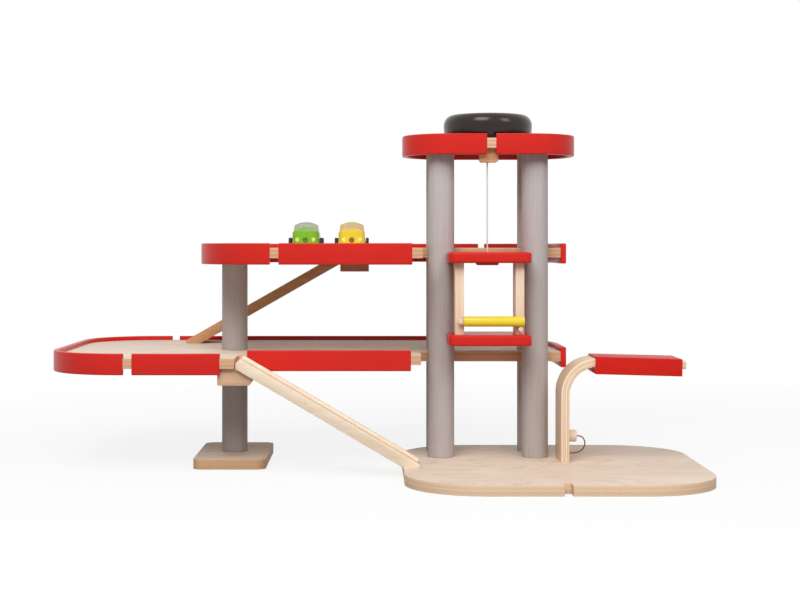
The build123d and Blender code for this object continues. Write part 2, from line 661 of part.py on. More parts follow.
def gate_bar():
    """Round yellow bar with a flat tongue at its pivot."""
    bar = rod_x(GATE_BAR_LEFT, GATE_BAR_RIGHT, GATE_Y, GATE_Z, GATE_D)
    bar = chamfer(bar.edges().filter_by(GeomType.CIRCLE), RIM_ROUND / 2)
    tongue = box(GATE_PIVOT_X, GATE_BAR_LEFT + 2, GATE_Y - GATE_TONGUE_T / 2,
                 GATE_Y + GATE_TONGUE_T / 2, GATE_Z - GATE_TONGUE_H / 2, GATE_Z + GATE_TONGUE_H / 2)
    eye = rod_y(GATE_PIVOT_X, GATE_Y - GATE_TONGUE_T / 2, GATE_Y + GATE_TONGUE_T / 2,
                GATE_Z, GATE_TONGUE_H)
    return bar + tongue + eye - rod_y(GATE_PIVOT_X, GATE_Y - 9, GATE_Y + 9, GATE_Z,
                                      GATE_PIN_D + 2 * RUN_CLEAR)


def cord_anchor():
    """Red block under the top plate that the cord is knotted in."""
    block = box(CORD_X - ANCHOR_W / 2, CORD_X + ANCHOR_W / 2, CORD_Y - ANCHOR_DEEP / 2,
                CORD_Y + ANCHOR_DEEP / 2, CAGE_TOP_Z - ANCHOR_H, CAGE_TOP_Z)
    block = chamfer(block.edges().filter_by(Axis.Y).sort_by(Axis.Z)[:2], ANCHOR_H / 3)
    return block - rod(CORD_X, CORD_Y, CAGE_TOP_Z - 2 * ANCHOR_H, CAGE_TOP + 1, CORD_HOLE_D)


# ================================================================= fuel pump
def arch_points():
    """Square-cornered outline of the bent strip, with its two corners first."""
    fall = math.tan(math.radians(ARCH_DROOP))
    top = lambda x: ARCH_TOP - fall * (x - ARCH_X)
    inner_x = ARCH_X + ARCH_T
    outer_corner = (ARCH_X, top(ARCH_X))
    inner_corner = (inner_x, top(inner_x) - ARCH_T)
    outline = [(ARCH_X, BASE_TOP), outer_corner, (ARCH_TIP_X, top(ARCH_TIP_X)),
               (ARCH_TIP_X, top(ARCH_TIP_X) - ARCH_T), inner_corner, (inner_x, BASE_TOP)]
    return outline, outer_corner, inner_corner


def bent_strip():
    """The bent strip without its holes."""
    outline, outer_corner, inner_corner = arch_points()
    face = area(outline)
    face = round_corner(face, *outer_corner, ARCH_BEND_R)
    face = round_corner(face, *inner_corner, ARCH_BEND_R - ARCH_T)
    standing = Pos(0, ARCH_FRONT + ARCH_W, 0) * Rot(90, 0, 0) * face
    return extrude(standing, ARCH_W, dir=(0, -1, 0))


def pump_arch():
    """Laminated strip bent into a post and an arm."""
    strip = bent_strip()
    strip = strip - rod_x(ARCH_X - 1, ARCH_X + ARCH_T + 1, NOZZLE_Y, NOZZLE_Z,
                          NOZZLE_PEG_D + 2 * RUN_CLEAR)
    strip = strip - rod_x(ARCH_X + ARCH_T / 2, ARCH_X + ARCH_T + 1, NOZZLE_Y, HOSE_HOLE_Z,
                          HOSE_D + 4 * DOWEL_CLEAR)
    for x, y in base_screw_places()[-2:]:
        strip = strip - rod(x, y, BASE_TOP - 1, SCREW_LEN + AXIAL_CLEAR, SCREW_D + 4 * DOWEL_CLEAR)
    return strip


def canopy():
    """Red sleeve over the arm, parallel to it."""
    fall = math.tan(math.radians(ARCH_DROOP))
    top = lambda x: ARCH_TOP - fall * (x - ARCH_X)
    skin = [(CANOPY_LEFT, top(CANOPY_LEFT) + CANOPY_SKIN), (CANOPY_RIGHT, top(CANOPY_RIGHT) + CANOPY_SKIN),
            (CANOPY_RIGHT, top(CANOPY_RIGHT) + CANOPY_SKIN - CANOPY_H),
            (CANOPY_LEFT, top(CANOPY_LEFT) + CANOPY_SKIN - CANOPY_H)]
    block = prism_y(skin, ARCH_FRONT - CANOPY_SIDE, ARCH_FRONT + ARCH_W + CANOPY_SIDE)
    long_edges = [e for e in block.edges() if e.length > (CANOPY_RIGHT - CANOPY_LEFT) * 0.9]
    block = chamfer(long_edges, RIM_ROUND / 2)
    return block - bent_strip()


def pump_nozzle():
    """Wooden nozzle that plugs into the post."""
    face_x = ARCH_X + ARCH_T
    head = rod_x(face_x + AXIAL_CLEAR, face_x + NOZZLE_L, NOZZLE_Y, NOZZLE_Z, NOZZLE_D)
    head = chamfer(head.edges().filter_by(GeomType.CIRCLE).sort_by(Axis.X)[-1], RIM_ROUND / 2)
    return head + rod_x(face_x - NOZZLE_PEG_L, face_x + 1, NOZZLE_Y, NOZZLE_Z, NOZZLE_PEG_D)


def hose_points():
    """Hand-picked route of the thin hose, nozzle end first."""
    face_x = ARCH_X + ARCH_T
    return [
        (face_x + NOZZLE_L, NOZZLE_Y, NOZZLE_Z),
        (39.6, NOZZLE_Y, NOZZLE_Z),
        (43.7, NOZZLE_Y, 36.9),
        (44.9, NOZZLE_Y, 31.4),
        (42.6, NOZZLE_Y, 25.6),
        (37.6, NOZZLE_Y, 21.4),
        (30.0, NOZZLE_Y, HOSE_HOLE_Z - 0.6),
        (face_x, NOZZLE_Y, HOSE_HOLE_Z),
    ]


def corner_radii(points):
    """The largest tangent arc that each corner of a route has room for."""
    radii = []
    for a, b, c in zip(points, points[1:], points[2:]):
        before = Vector(*b) - Vector(*a)
        after = Vector(*c) - Vector(*b)
        half_turn = math.radians(before.get_angle(after)) / 2
        radii.append(0.45 * min(before.length, after.length) / math.tan(half_turn))
    return radii


def pump_hose():
    """Thin hose looping from the nozzle back to the post."""
    points = hose_points()
    radii = corner_radii(points)
    path = FilletPolyline(*points, radius=radii)
    section = Plane(origin=path @ 0, z_dir=path % 0) * Circle(HOSE_D / 2)
    tube = sweep(section, path=path)
    plain = math.pi * HOSE_D ** 2 / 4 * path.length
    print("hose length", round(path.length, 2), "radii", [round(r, 1) for r in radii],
          "volume ratio", round(tube.volume / plain, 4))
    return tube


# ================================================================= cars
def arched(x, half_low, half_high, z_low, z_side, z_crown):
    """A front view: leaning sides under an arched top."""
    corners = [(x - half_high, z_side), (x - half_low, z_low), (x + half_low, z_low),
               (x + half_high, z_side)]
    sides = [Line(a, b).edge() for a, b in zip(corners, corners[1:])]
    top = ThreePointArc(corners[-1], (x, z_crown), corners[0]).edge()
    return make_face(sides + [top])


def stand_y(face, y0, y1):
    """Extrudes a drawn front view between two depths."""
    return extrude(Pos(0, y1, 0) * Rot(90, 0, 0) * face, y1 - y0, dir=(0, -1, 0))


def stand_x(face, x0, x1):
    """Extrudes a drawn side view between two places along X."""
    plane = Plane(origin=(x0, 0, 0), x_dir=(0, 1, 0), z_dir=(1, 0, 0))
    return extrude(plane * face, x1 - x0, dir=(1, 0, 0))


def car_shell(colour, axle_ys, axle_z):
    """Body and cabin of a car, each the common part of its side, front and top views."""
    x = CAR_XS[colour]
    y0, y1 = CAR_FRONT_Y, CAR_FRONT_Y + CAR_L
    z0 = UP_TOP + CAR_ROAD_CLEAR + CAR_FLOOR
    z1 = z0 + CAR_BODY_H
    roof_z = z1 + CAR_CABIN_H
    half = CAR_W / 2
    nose_z, tail_z = z1 - CAR_NOSE_DROP, z1 - CAR_TAIL_DROP
    side = area([(y0, z0), (y1, z0), (y1, tail_z), (y1 - CAR_TAIL_L, z1), (y0 + CAR_BONNET_L, z1),
                 (y0, nose_z)])
    side = round_corner(side, y0, nose_z, CAR_CORNER_R)
    side = round_corner(side, y1, tail_z, CAR_CORNER_R)
    front = arched(x, half, half - CAR_LEAN, z0, z1 - CAR_CROWN, z1)
    plan = Pos(x, (y0 + y1) / 2) * RectangleRounded(CAR_W + 2, CAR_L, CAR_PLAN_R)
    body = stand_x(side, x - CAR_W, x + CAR_W) & stand_y(front, y0 - 1, y1 + 1)
    body = body & prism(plan, z0 - 1, roof_z)
    for y in axle_ys:
        body = body - rod_x(x - CAR_W, x + CAR_W, y, axle_z, AXLE_D)

    foot_z = z1 - CABIN_SUNK
    foot_front, foot_back = y0 + CABIN_FROM_NOSE, y1 - CABIN_FROM_TAIL
    roof_front, roof_back = foot_front + SCREEN_RAKE, foot_back - BACK_RAKE
    cabin_side = area([(foot_front, foot_z), (foot_back, foot_z), (roof_back, roof_z),
                       (roof_front, roof_z)])
    cabin_side = round_corner(cabin_side, roof_front, roof_z, 2 * CAR_CORNER_R)
    cabin_side = round_corner(cabin_side, roof_back, roof_z, 2 * CAR_CORNER_R)
    wide = half - CABIN_INSET
    cabin_front = arched(x, wide, wide - CAR_LEAN, foot_z, roof_z - CAR_CROWN, roof_z)
    for side_x in (x - wide + CAR_LEAN, x + wide - CAR_LEAN):
        cabin_front = round_corner(cabin_front, side_x, roof_z - CAR_CROWN, CAR_CORNER_R)
    cabin = stand_x(cabin_side, x - CAR_W, x + CAR_W) & stand_y(cabin_front, y0, y1)
    return body, cabin - body


def car_parts(colour):
    """A small toy car facing the front: body, cabin, fixed axles and two pairs of wheels."""
    x = CAR_XS[colour]
    half = CAR_W / 2
    axle_z = UP_TOP + CAR_ROAD_CLEAR + WHEEL_D / 2
    axle_ys = {"front": CAR_FRONT_Y + WHEEL_INSET, "rear": CAR_FRONT_Y + CAR_L - WHEEL_INSET}
    body, cabin = car_shell(colour, axle_ys.values(), axle_z)
    made = {"car_" + colour + "_body": body, "car_" + colour + "_cabin": cabin}
    outer = half + WHEEL_GAP + WHEEL_W
    axles = [rod_x(x - outer, x + outer, y, axle_z, AXLE_D) for y in axle_ys.values()]
    made["car_" + colour + "_axles"] = Compound(children=axles)
    for end, y in axle_ys.items():
        wheels = []
        for sign in (-1, 1):
            a, b = x + sign * (outer - WHEEL_W), x + sign * outer
            wheel = rod_x(min(a, b), max(a, b), y, axle_z, WHEEL_D)
            wheel = chamfer(wheel.edges().filter_by(GeomType.CIRCLE), WHEEL_CHAMFER)
            wheels.append(wheel - rod_x(x - outer - 1, x + outer + 1, y, axle_z,
                                        AXLE_D + 2 * AXLE_CLEAR))
        made["car_" + colour + "_wheels_" + end] = Compound(children=wheels)
    return made


# ================================================================= everything
def build():
    """Every node of the garage by name."""
    low, up, roof = lower_rims(), upper_rims(), roof_rims()
    rear_places = [(x, REAR_COLUMN_Y) for x in COLUMN_XS.values()]
    deck_places = rear_places + [(SUPPORT_X, SUPPORT_Y)]
    ramp_y0 = DECK_FRONT
    rear_y0 = REAR_LANE_NEAR + RAMP_SIDE_CLEAR
    screw_places = base_screw_places() + [(SUPPORT_X, SUPPORT_Y)]
    rests = [ramp_rest(FRONT_JOINT_X, 1, FRONT_RAMP_RUN, LOW_TOP, BASE_TOP, ramp_y0,
                       FRONT_REST_AHEAD, FRONT_REST_NOSE),
             ramp_rest(REAR_JOINT_X, -1, REAR_RAMP_RUN, UP_TOP, LOW_TOP, rear_y0,
                       REAR_REST_AHEAD, REAR_REST_NOSE)]

    nodes = {
        "base_board": base_board(),
        "base_screws": Compound(children=[screw(x, y) for x, y in screw_places]),
        "foot_plate": foot_plate(),
        "lower_deck": deck(lower_outline(), LOW_Z, low.values(), deck_places),
        "upper_deck": deck(upper_outline(), UP_Z, up.values(), rear_places),
        "roof_board": roof_board(roof.values()),
        "column_dowels": Compound(children=dowels(LOW_Z, deck_places) + dowels(UP_Z, rear_places)),
        "front_ramp": ramp(FRONT_JOINT_X, 1, FRONT_RAMP_RUN, LOW_TOP, BASE_TOP, ramp_y0),
        "rear_ramp": ramp(REAR_JOINT_X, -1, REAR_RAMP_RUN, UP_TOP, LOW_TOP, rear_y0),
        "ramp_rests": Compound(children=rests),
        "lift_knob": lift_knob(),
        "cord_drum": cord_drum(),
        "cord_winding": cord_winding(),
        "knob_spindle": knob_spindle(),
        "spindle_fixing": Compound(children=[spindle_washer(), spindle_screw()]),
        "cord_guide": cord_guide(),
        "lift_cord_run": lift_cord_run(),
        "lift_cord": lift_cord(),
        "cage_floor": cage_plate(CAGE_FLOOR_Z),
        "cage_top": cage_top(),
        "cage_post_left": cage_post("left"),
        "cage_post_right": cage_post("right"),
        "cord_anchor": cord_anchor(),
        "gate_pin": gate_pin(),
        "gate_rest": gate_rest(),
        "gate_bar": gate_bar(),
        "pump_arch": pump_arch(),
        "canopy": canopy(),
        "pump_nozzle": pump_nozzle(),
        "pump_hose": pump_hose(),
    }
    nodes.update(low)
    nodes.update(up)
    nodes.update(roof)
    nodes.update(columns())
    for colour in CAR_XS:
        nodes.update(car_parts(colour))
    return nodes


os.makedirs("parts", exist_ok=True)
for name, shape in build().items():
    export_step(shape, "parts/" + name + ".step")
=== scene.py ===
import math

import bmesh
import bpy
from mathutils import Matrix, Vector


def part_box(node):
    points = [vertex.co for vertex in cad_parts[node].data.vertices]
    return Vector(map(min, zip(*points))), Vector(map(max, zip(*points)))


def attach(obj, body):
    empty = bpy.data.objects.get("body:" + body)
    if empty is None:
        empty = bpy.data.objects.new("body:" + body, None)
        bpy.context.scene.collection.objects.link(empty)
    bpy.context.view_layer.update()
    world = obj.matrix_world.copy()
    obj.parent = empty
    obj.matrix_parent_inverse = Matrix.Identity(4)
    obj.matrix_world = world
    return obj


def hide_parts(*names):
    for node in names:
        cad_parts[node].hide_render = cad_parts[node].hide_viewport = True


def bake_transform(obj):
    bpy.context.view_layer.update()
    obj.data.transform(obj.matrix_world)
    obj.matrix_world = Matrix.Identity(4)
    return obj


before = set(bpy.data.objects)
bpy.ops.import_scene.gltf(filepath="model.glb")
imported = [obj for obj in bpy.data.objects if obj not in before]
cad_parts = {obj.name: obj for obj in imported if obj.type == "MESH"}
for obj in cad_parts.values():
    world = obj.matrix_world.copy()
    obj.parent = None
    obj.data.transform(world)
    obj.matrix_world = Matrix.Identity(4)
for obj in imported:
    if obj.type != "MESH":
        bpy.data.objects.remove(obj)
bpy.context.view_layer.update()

# Toy parking garage with lift. Places and sizes of its pieces are in millimetres, as in the part's
# source. The camera, the lamps and what a name or a comment says is in metres are in metres.
MM = 0.001


# ------------------------------ camera
LENS_MM, SENSOR_MM = 71.55, 36.0
FRAME_SHIFT_X, FRAME_SHIFT_Y = 0.0375, -0.06625
CAMERA_PLACE = (-0.214, -1.882, 0.268)


def place_camera():
    """The photograph's level view, with the frame shifted instead of tilted."""
    lens = bpy.data.cameras.new("camera")
    lens.lens = LENS_MM
    lens.sensor_width = SENSOR_MM
    lens.shift_x = FRAME_SHIFT_X
    lens.shift_y = FRAME_SHIFT_Y
    camera = bpy.data.objects.new("camera", lens)
    camera.location = CAMERA_PLACE
    camera.rotation_euler = (math.radians(90), 0, 0)
    bpy.context.scene.collection.objects.link(camera)
    bpy.context.scene.camera = camera


place_camera()


# ------------------------------ modelling helpers
def clear_selection():
    bpy.ops.object.select_all(action="DESELECT")


def only(piece):
    """Selects one object by itself and makes it the active one."""
    clear_selection()
    piece.select_set(True)
    bpy.context.view_layer.objects.active = piece


def show(thing):
    bpy.context.scene.collection.objects.link(thing)


def select_everything():
    bpy.ops.mesh.select_all(action="SELECT")


def begin(name, primitive, turn=(0, 0, 0), scale=(1, 1, 1), at=(0, 0, 0), **size):
    """Adds one primitive by itself, puts its place in its mesh and opens it for editing."""
    clear_selection()
    sizes = {key: value * MM for key, value in size.items() if key not in ("vertices", "segments")}
    counts = {key: value for key, value in size.items() if key in ("vertices", "segments")}
    primitive(location=Vector(at) * MM, rotation=turn, **sizes, **counts)
    piece = bpy.context.active_object
    piece.scale = scale
    piece.name = name
    piece.data.name = name
    bpy.ops.object.transform_apply(location=True, rotation=True, scale=True)
    bpy.ops.object.mode_set(mode="EDIT")
    return piece


def end():
    bpy.ops.object.mode_set(mode="OBJECT")


def reopen(piece):
    only(piece)
    bpy.ops.object.mode_set(mode="EDIT")


def close_shell():
    """Fills the open ends of the shape being edited and turns all its faces outwards."""
    select_everything()
    bpy.ops.mesh.fill_holes(sides=0)
    select_everything()
    bpy.ops.mesh.normals_make_consistent(inside=False)


def run_along(edge, axis):
    """How far an edge runs along X (0), Y (1) or Z (2), in metres."""
    return abs(edge.verts[0].co[axis] - edge.verts[1].co[axis])


def choose(piece, kind, test):
    """Selects what passes a test on its middle, in millimetres, and on the item itself."""
    bpy.ops.mesh.select_mode(type=kind)
    bpy.ops.mesh.select_all(action="DESELECT")
    mesh = bmesh.from_edit_mesh(piece.data)
    items = {"VERT": mesh.verts, "EDGE": mesh.edges, "FACE": mesh.faces}[kind]
    for item in items:
        if kind == "VERT":
            middle = item.co
        elif kind == "EDGE":
            middle = (item.verts[0].co + item.verts[1].co) / 2
        else:
            middle = item.calc_center_median()
        item.select_set(bool(test(middle / MM, item)))
    mesh.select_flush_mode()
    bmesh.update_edit_mesh(piece.data)


def modify(piece, kind, **settings):
    """Adds a modifier and applies it at once."""
    only(piece)
    modifier = piece.modifiers.new(kind.lower(), kind)
    for key, value in settings.items():
        setattr(modifier, key, value)
    bpy.ops.object.modifier_apply(modifier=modifier.name)


def round_edges(piece, width, segments=3, angle=40):
    """Rounds every edge sharper than an angle."""
    modify(piece, "BEVEL", width=width * MM, segments=segments, limit_method="ANGLE",
           angle_limit=math.radians(angle), use_clamp_overlap=True, miter_outer="MITER_ARC")


def cut_away(piece, cutter):
    """Cuts one piece out of another and removes the cutter."""
    modify(piece, "BOOLEAN", operation="DIFFERENCE", solver="EXACT", object=cutter)
    bpy.data.objects.remove(cutter)


def settle(piece):
    """Puts an object's place and turn into its mesh."""
    only(piece)
    bpy.ops.object.transform_apply(location=True, rotation=True, scale=True)


def join(name, pieces):
    clear_selection()
    for piece in pieces:
        piece.select_set(True)
    bpy.context.view_layer.objects.active = pieces[0]
    bpy.ops.object.join()
    joined = bpy.context.active_object
    joined.name = name
    joined.data.name = name
    return joined


def finish(piece, body, finishes, nodes=(), smooth=35):
    """Gives a piece its finish and its body, and hides the CAD nodes that it stands for."""
    only(piece)
    bpy.ops.object.shade_smooth_by_angle(angle=math.radians(smooth))
    piece.data.materials.clear()
    for finish_material in (finishes if isinstance(finishes, (list, tuple)) else [finishes]):
        piece.data.materials.append(finish_material)
    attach(piece, body)
    if nodes:
        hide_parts(*nodes)
    return piece


def copied(node):
    """A merged copy of a CAD node's mesh, ready for rounding."""
    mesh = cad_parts[node].data.copy()
    piece = bpy.data.objects.new(node + "_piece", mesh)
    mesh.name = piece.name
    show(piece)
    if "custom_normal" in mesh.attributes:
        mesh.attributes.remove(mesh.attributes["custom_normal"])
    reopen(piece)
    select_everything()
    bpy.ops.mesh.remove_doubles(threshold=2e-6)
    bpy.ops.mesh.mark_sharp(clear=True)
    bpy.ops.mesh.dissolve_limited(angle_limit=math.radians(0.8))
    end()
    return piece


def block(name, low, high):
    """A box between two corners, left in object mode."""
    middle = [(a + b) / 2 for a, b in zip(low, high)]
    size = [b - a for a, b in zip(low, high)]
    piece = begin(name, bpy.ops.mesh.primitive_cube_add, at=middle, scale=size, size=1)
    end()
    return piece


def post(name, middle, length, diameter, turn=(0, 0, 0), sides=96):
    """A round bar, upright unless it is turned."""
    piece = begin(name, bpy.ops.mesh.primitive_cylinder_add, at=middle, turn=turn, vertices=sides,
                  radius=diameter / 2, depth=length)
    end()
    return piece


def span(node):
    """Lowest and highest corner of a CAD node, in millimetres."""
    low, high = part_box(node)
    return low / MM, high / MM


def moved(piece, name, offset):
    """A copy of a finished form with its own mesh, shifted in its mesh."""
    twin = piece.copy()
    twin.data = piece.data.copy()
    twin.name = twin.data.name = name
    show(twin)
    twin.location = Vector(offset) * MM
    settle(twin)
    return twin


def turned(name, profile, at, lean=(0, 0, 0), steps=96):
    """A lathe piece: rings of (radius, height) from a first disc, grown by extruding and scaling."""
    (r0, h0), rest = profile[0], profile[1:]
    piece = begin(name, bpy.ops.mesh.primitive_circle_add, at=(0, 0, h0), radius=r0, vertices=steps)
    select_everything()
    radius, height = r0, h0
    for r, h in rest:
        bpy.ops.mesh.extrude_edges_move(TRANSFORM_OT_translate={"value": (0, 0, (h - height) * MM)})
        share = r / radius
        bpy.ops.transform.resize(value=(share, share, 1), center_override=(0, 0, h * MM))
        radius, height = r, h
    close_shell()
    end()
    piece.rotation_euler = lean
    piece.location = Vector(at) * MM
    settle(piece)
    return piece


def arc(radius, start, stop, steps, centre=(0, 0)):
    """Points on an arc as (x, y), with angles in degrees."""
    points = []
    for i in range(steps + 1):
        a = math.radians(start + (stop - start) * i / steps)
        points.append((centre[0] + radius * math.cos(a), centre[1] + radius * math.sin(a)))
    return points


def ahead_and_left(a, upright):
    """The unit vectors of a heading, in the X-Y plane, or in the X-Z plane when upright."""
    c, s = math.cos(a), math.sin(a)
    return (Vector((c, 0, s)), Vector((-s, 0, c))) if upright else (Vector((c, s, 0)), Vector((-s, c, 0)))


def bent_bar(name, start, heading, size, moves, corner=1.5, steps_per_turn=30, upright=False):
    """A rounded strip bent along runs and turns, with its ends closed and softened.

    start is the middle of its first end. heading is in degrees in the X-Y plane, or in the X-Z plane
    when upright. A move is a length, or (radius, degrees) with degrees positive to the left."""
    thick, tall = size
    a = math.radians(heading)
    turn = (0, math.radians(90) - a, 0) if upright else (math.radians(90), 0, a + math.radians(90))
    piece = begin(name, bpy.ops.mesh.primitive_plane_add, turn, (thick, tall, 1), start, size=1)
    bpy.ops.mesh.select_mode(type="VERT")
    select_everything()
    bpy.ops.mesh.bevel(offset=corner * MM, segments=4, affect="VERTICES")
    select_everything()
    bpy.ops.mesh.delete(type="ONLY_FACE")
    select_everything()
    place = Vector(start)
    for move in moves:
        ahead, left = ahead_and_left(a, upright)
        if not isinstance(move, tuple):
            bpy.ops.mesh.extrude_edges_move(TRANSFORM_OT_translate={"value": ahead * move * MM})
            place = place + ahead * move
            continue
        radius, degrees = move
        side = 1 if degrees > 0 else -1
        centre = place + left * radius * side
        axis = (0, -1, 0) if upright else (0, 0, 1)
        steps = max(2, round(abs(degrees) / 90 * steps_per_turn))
        bpy.ops.mesh.spin(steps=steps, angle=-math.radians(degrees), center=centre * MM, axis=axis)
        a += math.radians(degrees)
        ahead, left = ahead_and_left(a, upright)
        place = centre - left * radius * side
    select_everything()
    bpy.ops.mesh.remove_doubles(threshold=1e-6)
    close_shell()
    end()
    round_edges(piece, min(corner, 0.7), segments=2, angle=60)
    return piece


# ------------------------------ material helpers
class Wire:
    """A socket that adds Math nodes when it is used in an expression."""

    def __init__(self, tree, socket):
        self.tree, self.socket = tree, socket

    def math(self, operation, *values):
        node = self.tree.nodes.new("ShaderNodeMath")
        node.operation = operation
        for socket, value in zip(node.inputs, values):
            plug(self.tree, socket, value)
        return Wire(self.tree, node.outputs[0])

    def __add__(self, other):
        return self.math("ADD", self, other)

    __radd__ = __add__

    def __sub__(self, other):
        return self.math("SUBTRACT", self, other)

    def __rsub__(self, other):
        return self.math("SUBTRACT", other, self)

    def __mul__(self, other):
        return self.math("MULTIPLY", self, other)

    __rmul__ = __mul__

    def __truediv__(self, other):
        return self.math("DIVIDE", self, other)

    def __gt__(self, other):
        return self.math("GREATER_THAN", self, other)

    def __lt__(self, other):
        return self.math("LESS_THAN", self, other)

    def __abs__(self):
        return self.math("ABSOLUTE", self)

    def part(self):
        return self.math("FRACT", self)

    def power(self, other):
        return self.math("POWER", self, other)

    def root(self):
        return self.math("SQRT", self)

    def wave(self):
        return self.math("SINE", self)

    def at_least(self, other):
        return self.math("MAXIMUM", self, other)

    def at_most(self, other):
        return self.math("MINIMUM", self, other)

    def clamp(self):
        return self.at_least(0.0).at_most(1.0)


def plug(tree, socket, value):
    """Links a wire or sets a value."""
    if isinstance(value, Wire):
        tree.links.new(value.socket, socket)
    else:
        socket.default_value = value


def linear(hex_colour):
    """A display colour such as "d6322d" as linear RGBA."""
    channels = [int(hex_colour[i:i + 2], 16) / 255 for i in (0, 2, 4)]
    return tuple(c / 12.92 if c <= 0.04045 else ((c + 0.055) / 1.055) ** 2.4 for c in channels) + (1.0,)


def tones(*hex_colours):
    return [linear(hex_colour) for hex_colour in hex_colours]


class Finish:
    """One procedural material under construction."""

    def __init__(self, name):
        self.material = bpy.data.materials.new(name)
        self.material.use_nodes = True
        self.tree = self.material.node_tree
        self.tree.nodes.clear()

    def node(self, kind, settings=None, values=None, output=0):
        """Adds a node: its settings first, then the values or links of its sockets."""
        node = self.tree.nodes.new(kind)
        for key, value in (settings or {}).items():
            setattr(node, key, value)
        for key, value in (values or {}).items():
            plug(self.tree, node.inputs[key], value)
        return Wire(self.tree, node.outputs[output])

    def place(self, kind="Object"):
        """Object coordinates, or another output of the same node, as three wires."""
        spot = self.node("ShaderNodeTexCoord", output=kind)
        split = self.node("ShaderNodeSeparateXYZ", values={0: spot})
        return [Wire(self.tree, split.socket.node.outputs[i]) for i in range(3)]

    def facing(self):
        """The surface direction on the object's own axes, as three wires."""
        return self.place("Normal")

    def point(self, x, y, z):
        return self.node("ShaderNodeCombineXYZ", values={0: x, 1: y, 2: z})

    def noise(self, spot, detail=3.0, twist=0.0):
        return self.node("ShaderNodeTexNoise", {"noise_dimensions": "3D"},
                         {"Vector": spot, "Scale": 1.0, "Detail": detail, "Roughness": 0.55,
                          "Distortion": twist})

    def mix(self, share, first, second):
        return self.node("ShaderNodeMix", {"data_type": "RGBA"}, {0: share, 6: first, 7: second}, output=2)

    def bump(self, height, distance):
        return self.node("ShaderNodeBump", values={"Height": height, "Distance": distance * MM,
                                                   "Strength": 1.0})

    def surface(self, colour, rough, bump=None, **fixed):
        """Closes the material with one shader."""
        values = {"Base Color": colour, "Roughness": rough}
        values.update({key.replace("_", " "): value for key, value in fixed.items()})
        if bump is not None:
            values["Normal"] = bump
        shader = self.node("ShaderNodeBsdfPrincipled", values=values)
        return self.close(shader)

    def close(self, shader):
        output = self.tree.nodes.new("ShaderNodeOutputMaterial")
        self.tree.links.new(shader.socket, output.inputs[0])
        return self.material


# ------------------------------ finishes
def darker(colour, share):
    return tuple(c * share for c in colour[:3]) + (1.0,)


def grain_axes(finish_, along):
    """Coordinates with the grain's run first."""
    x, y, z = finish_.place()
    return {"X": (x, y, z), "Y": (y, x, z), "Z": (z, x, y)}[along]


def bare_wood(name, light, dark, along="X", seed=0.0):
    """Solid beech under clear lacquer: long soft bands, fine fibres and short darker flecks."""
    f = Finish(name)
    run, across, deep = grain_axes(f, along)
    bands = f.noise(f.point(run * 9 + seed, across * 150, deep * 150), detail=2.5, twist=0.6)
    fibres = f.noise(f.point(run * 40 + seed, across * 1500, deep * 1500), detail=2.0)
    flecks = f.noise(f.point(run * 160 + seed, across * 1400, deep * 1400), detail=1.0)
    fleck = ((flecks - 0.63) * 9).clamp()
    tone = f.mix((bands * 1.5 - 0.3).clamp(), light, dark)
    tone = f.mix((fibres - 0.45).clamp() * 0.5, tone, dark)
    tone = f.mix(fleck * 0.3, tone, darker(dark, 0.62))
    return f.surface(tone, 0.42 + fibres * 0.12, f.bump(fibres * 0.6 - fleck * 0.5, 0.05),
                     Specular_IOR_Level=0.35, Coat_Weight=0.08, Coat_Roughness=0.25)


def plywood(name, floor_z, face_tones, edge_tones, plies=5, ply_share=0.35, seed=0.0):
    """Birch plywood: quiet figured faces, and edges on which the plies just show."""
    f = Finish(name)
    (light, dark), (edge_light, edge_dark) = face_tones, edge_tones
    x, y, z = f.place()
    flat = ((abs(f.facing()[2]) - 0.5) * 6).clamp()
    figure = f.noise(f.point(x * 3.2 + seed, y * 13, z * 13), detail=2.5, twist=0.9)
    cloud = f.noise(f.point(x * 9 + seed, y * 30, z * 30), detail=3.0)
    fibres = f.noise(f.point(x * 30 + seed, y * 900, z * 900), detail=2.0)
    pores = f.noise(f.point(x * 120 + seed, y * 1100, z * 1100), detail=1.0)
    pore = ((pores - 0.64) * 8).clamp()
    rings = ((figure * 80).wave() * 0.5 + 0.5).power(7.0)
    face = f.mix((cloud * 1.5 - 0.35).clamp(), light, dark)
    face = f.mix(rings * 0.5, face, darker(dark, 0.84))
    face = f.mix((fibres - 0.4).clamp() * 0.4 + pore * 0.25, face, darker(dark, 0.72))
    layer = (z - floor_z * MM) / (BOARD_T * MM / plies)
    odd = (layer * 0.5).part() > 0.5
    glue = (0.5 - abs(layer.part() - 0.5)) < 0.06
    end_fibres = f.noise(f.point(x * 700 + seed, y * 700, z * 160), detail=2.0)
    edge = f.mix(odd * ply_share, edge_light, edge_dark)
    edge = f.mix(glue * ply_share * 0.8, edge, darker(edge_dark, 0.62))
    edge = f.mix((end_fibres - 0.4).clamp() * 0.45, edge, darker(edge_dark, 0.75))
    height = fibres * flat * 0.5 + end_fibres * (1 - flat) * 0.8 - pore * flat * 0.4 - glue * 0.15
    return f.surface(f.mix(flat, edge, face), 0.48 + fibres * 0.12, f.bump(height, 0.05),
                     Specular_IOR_Level=0.14, Coat_Weight=0.02, Coat_Roughness=0.25)


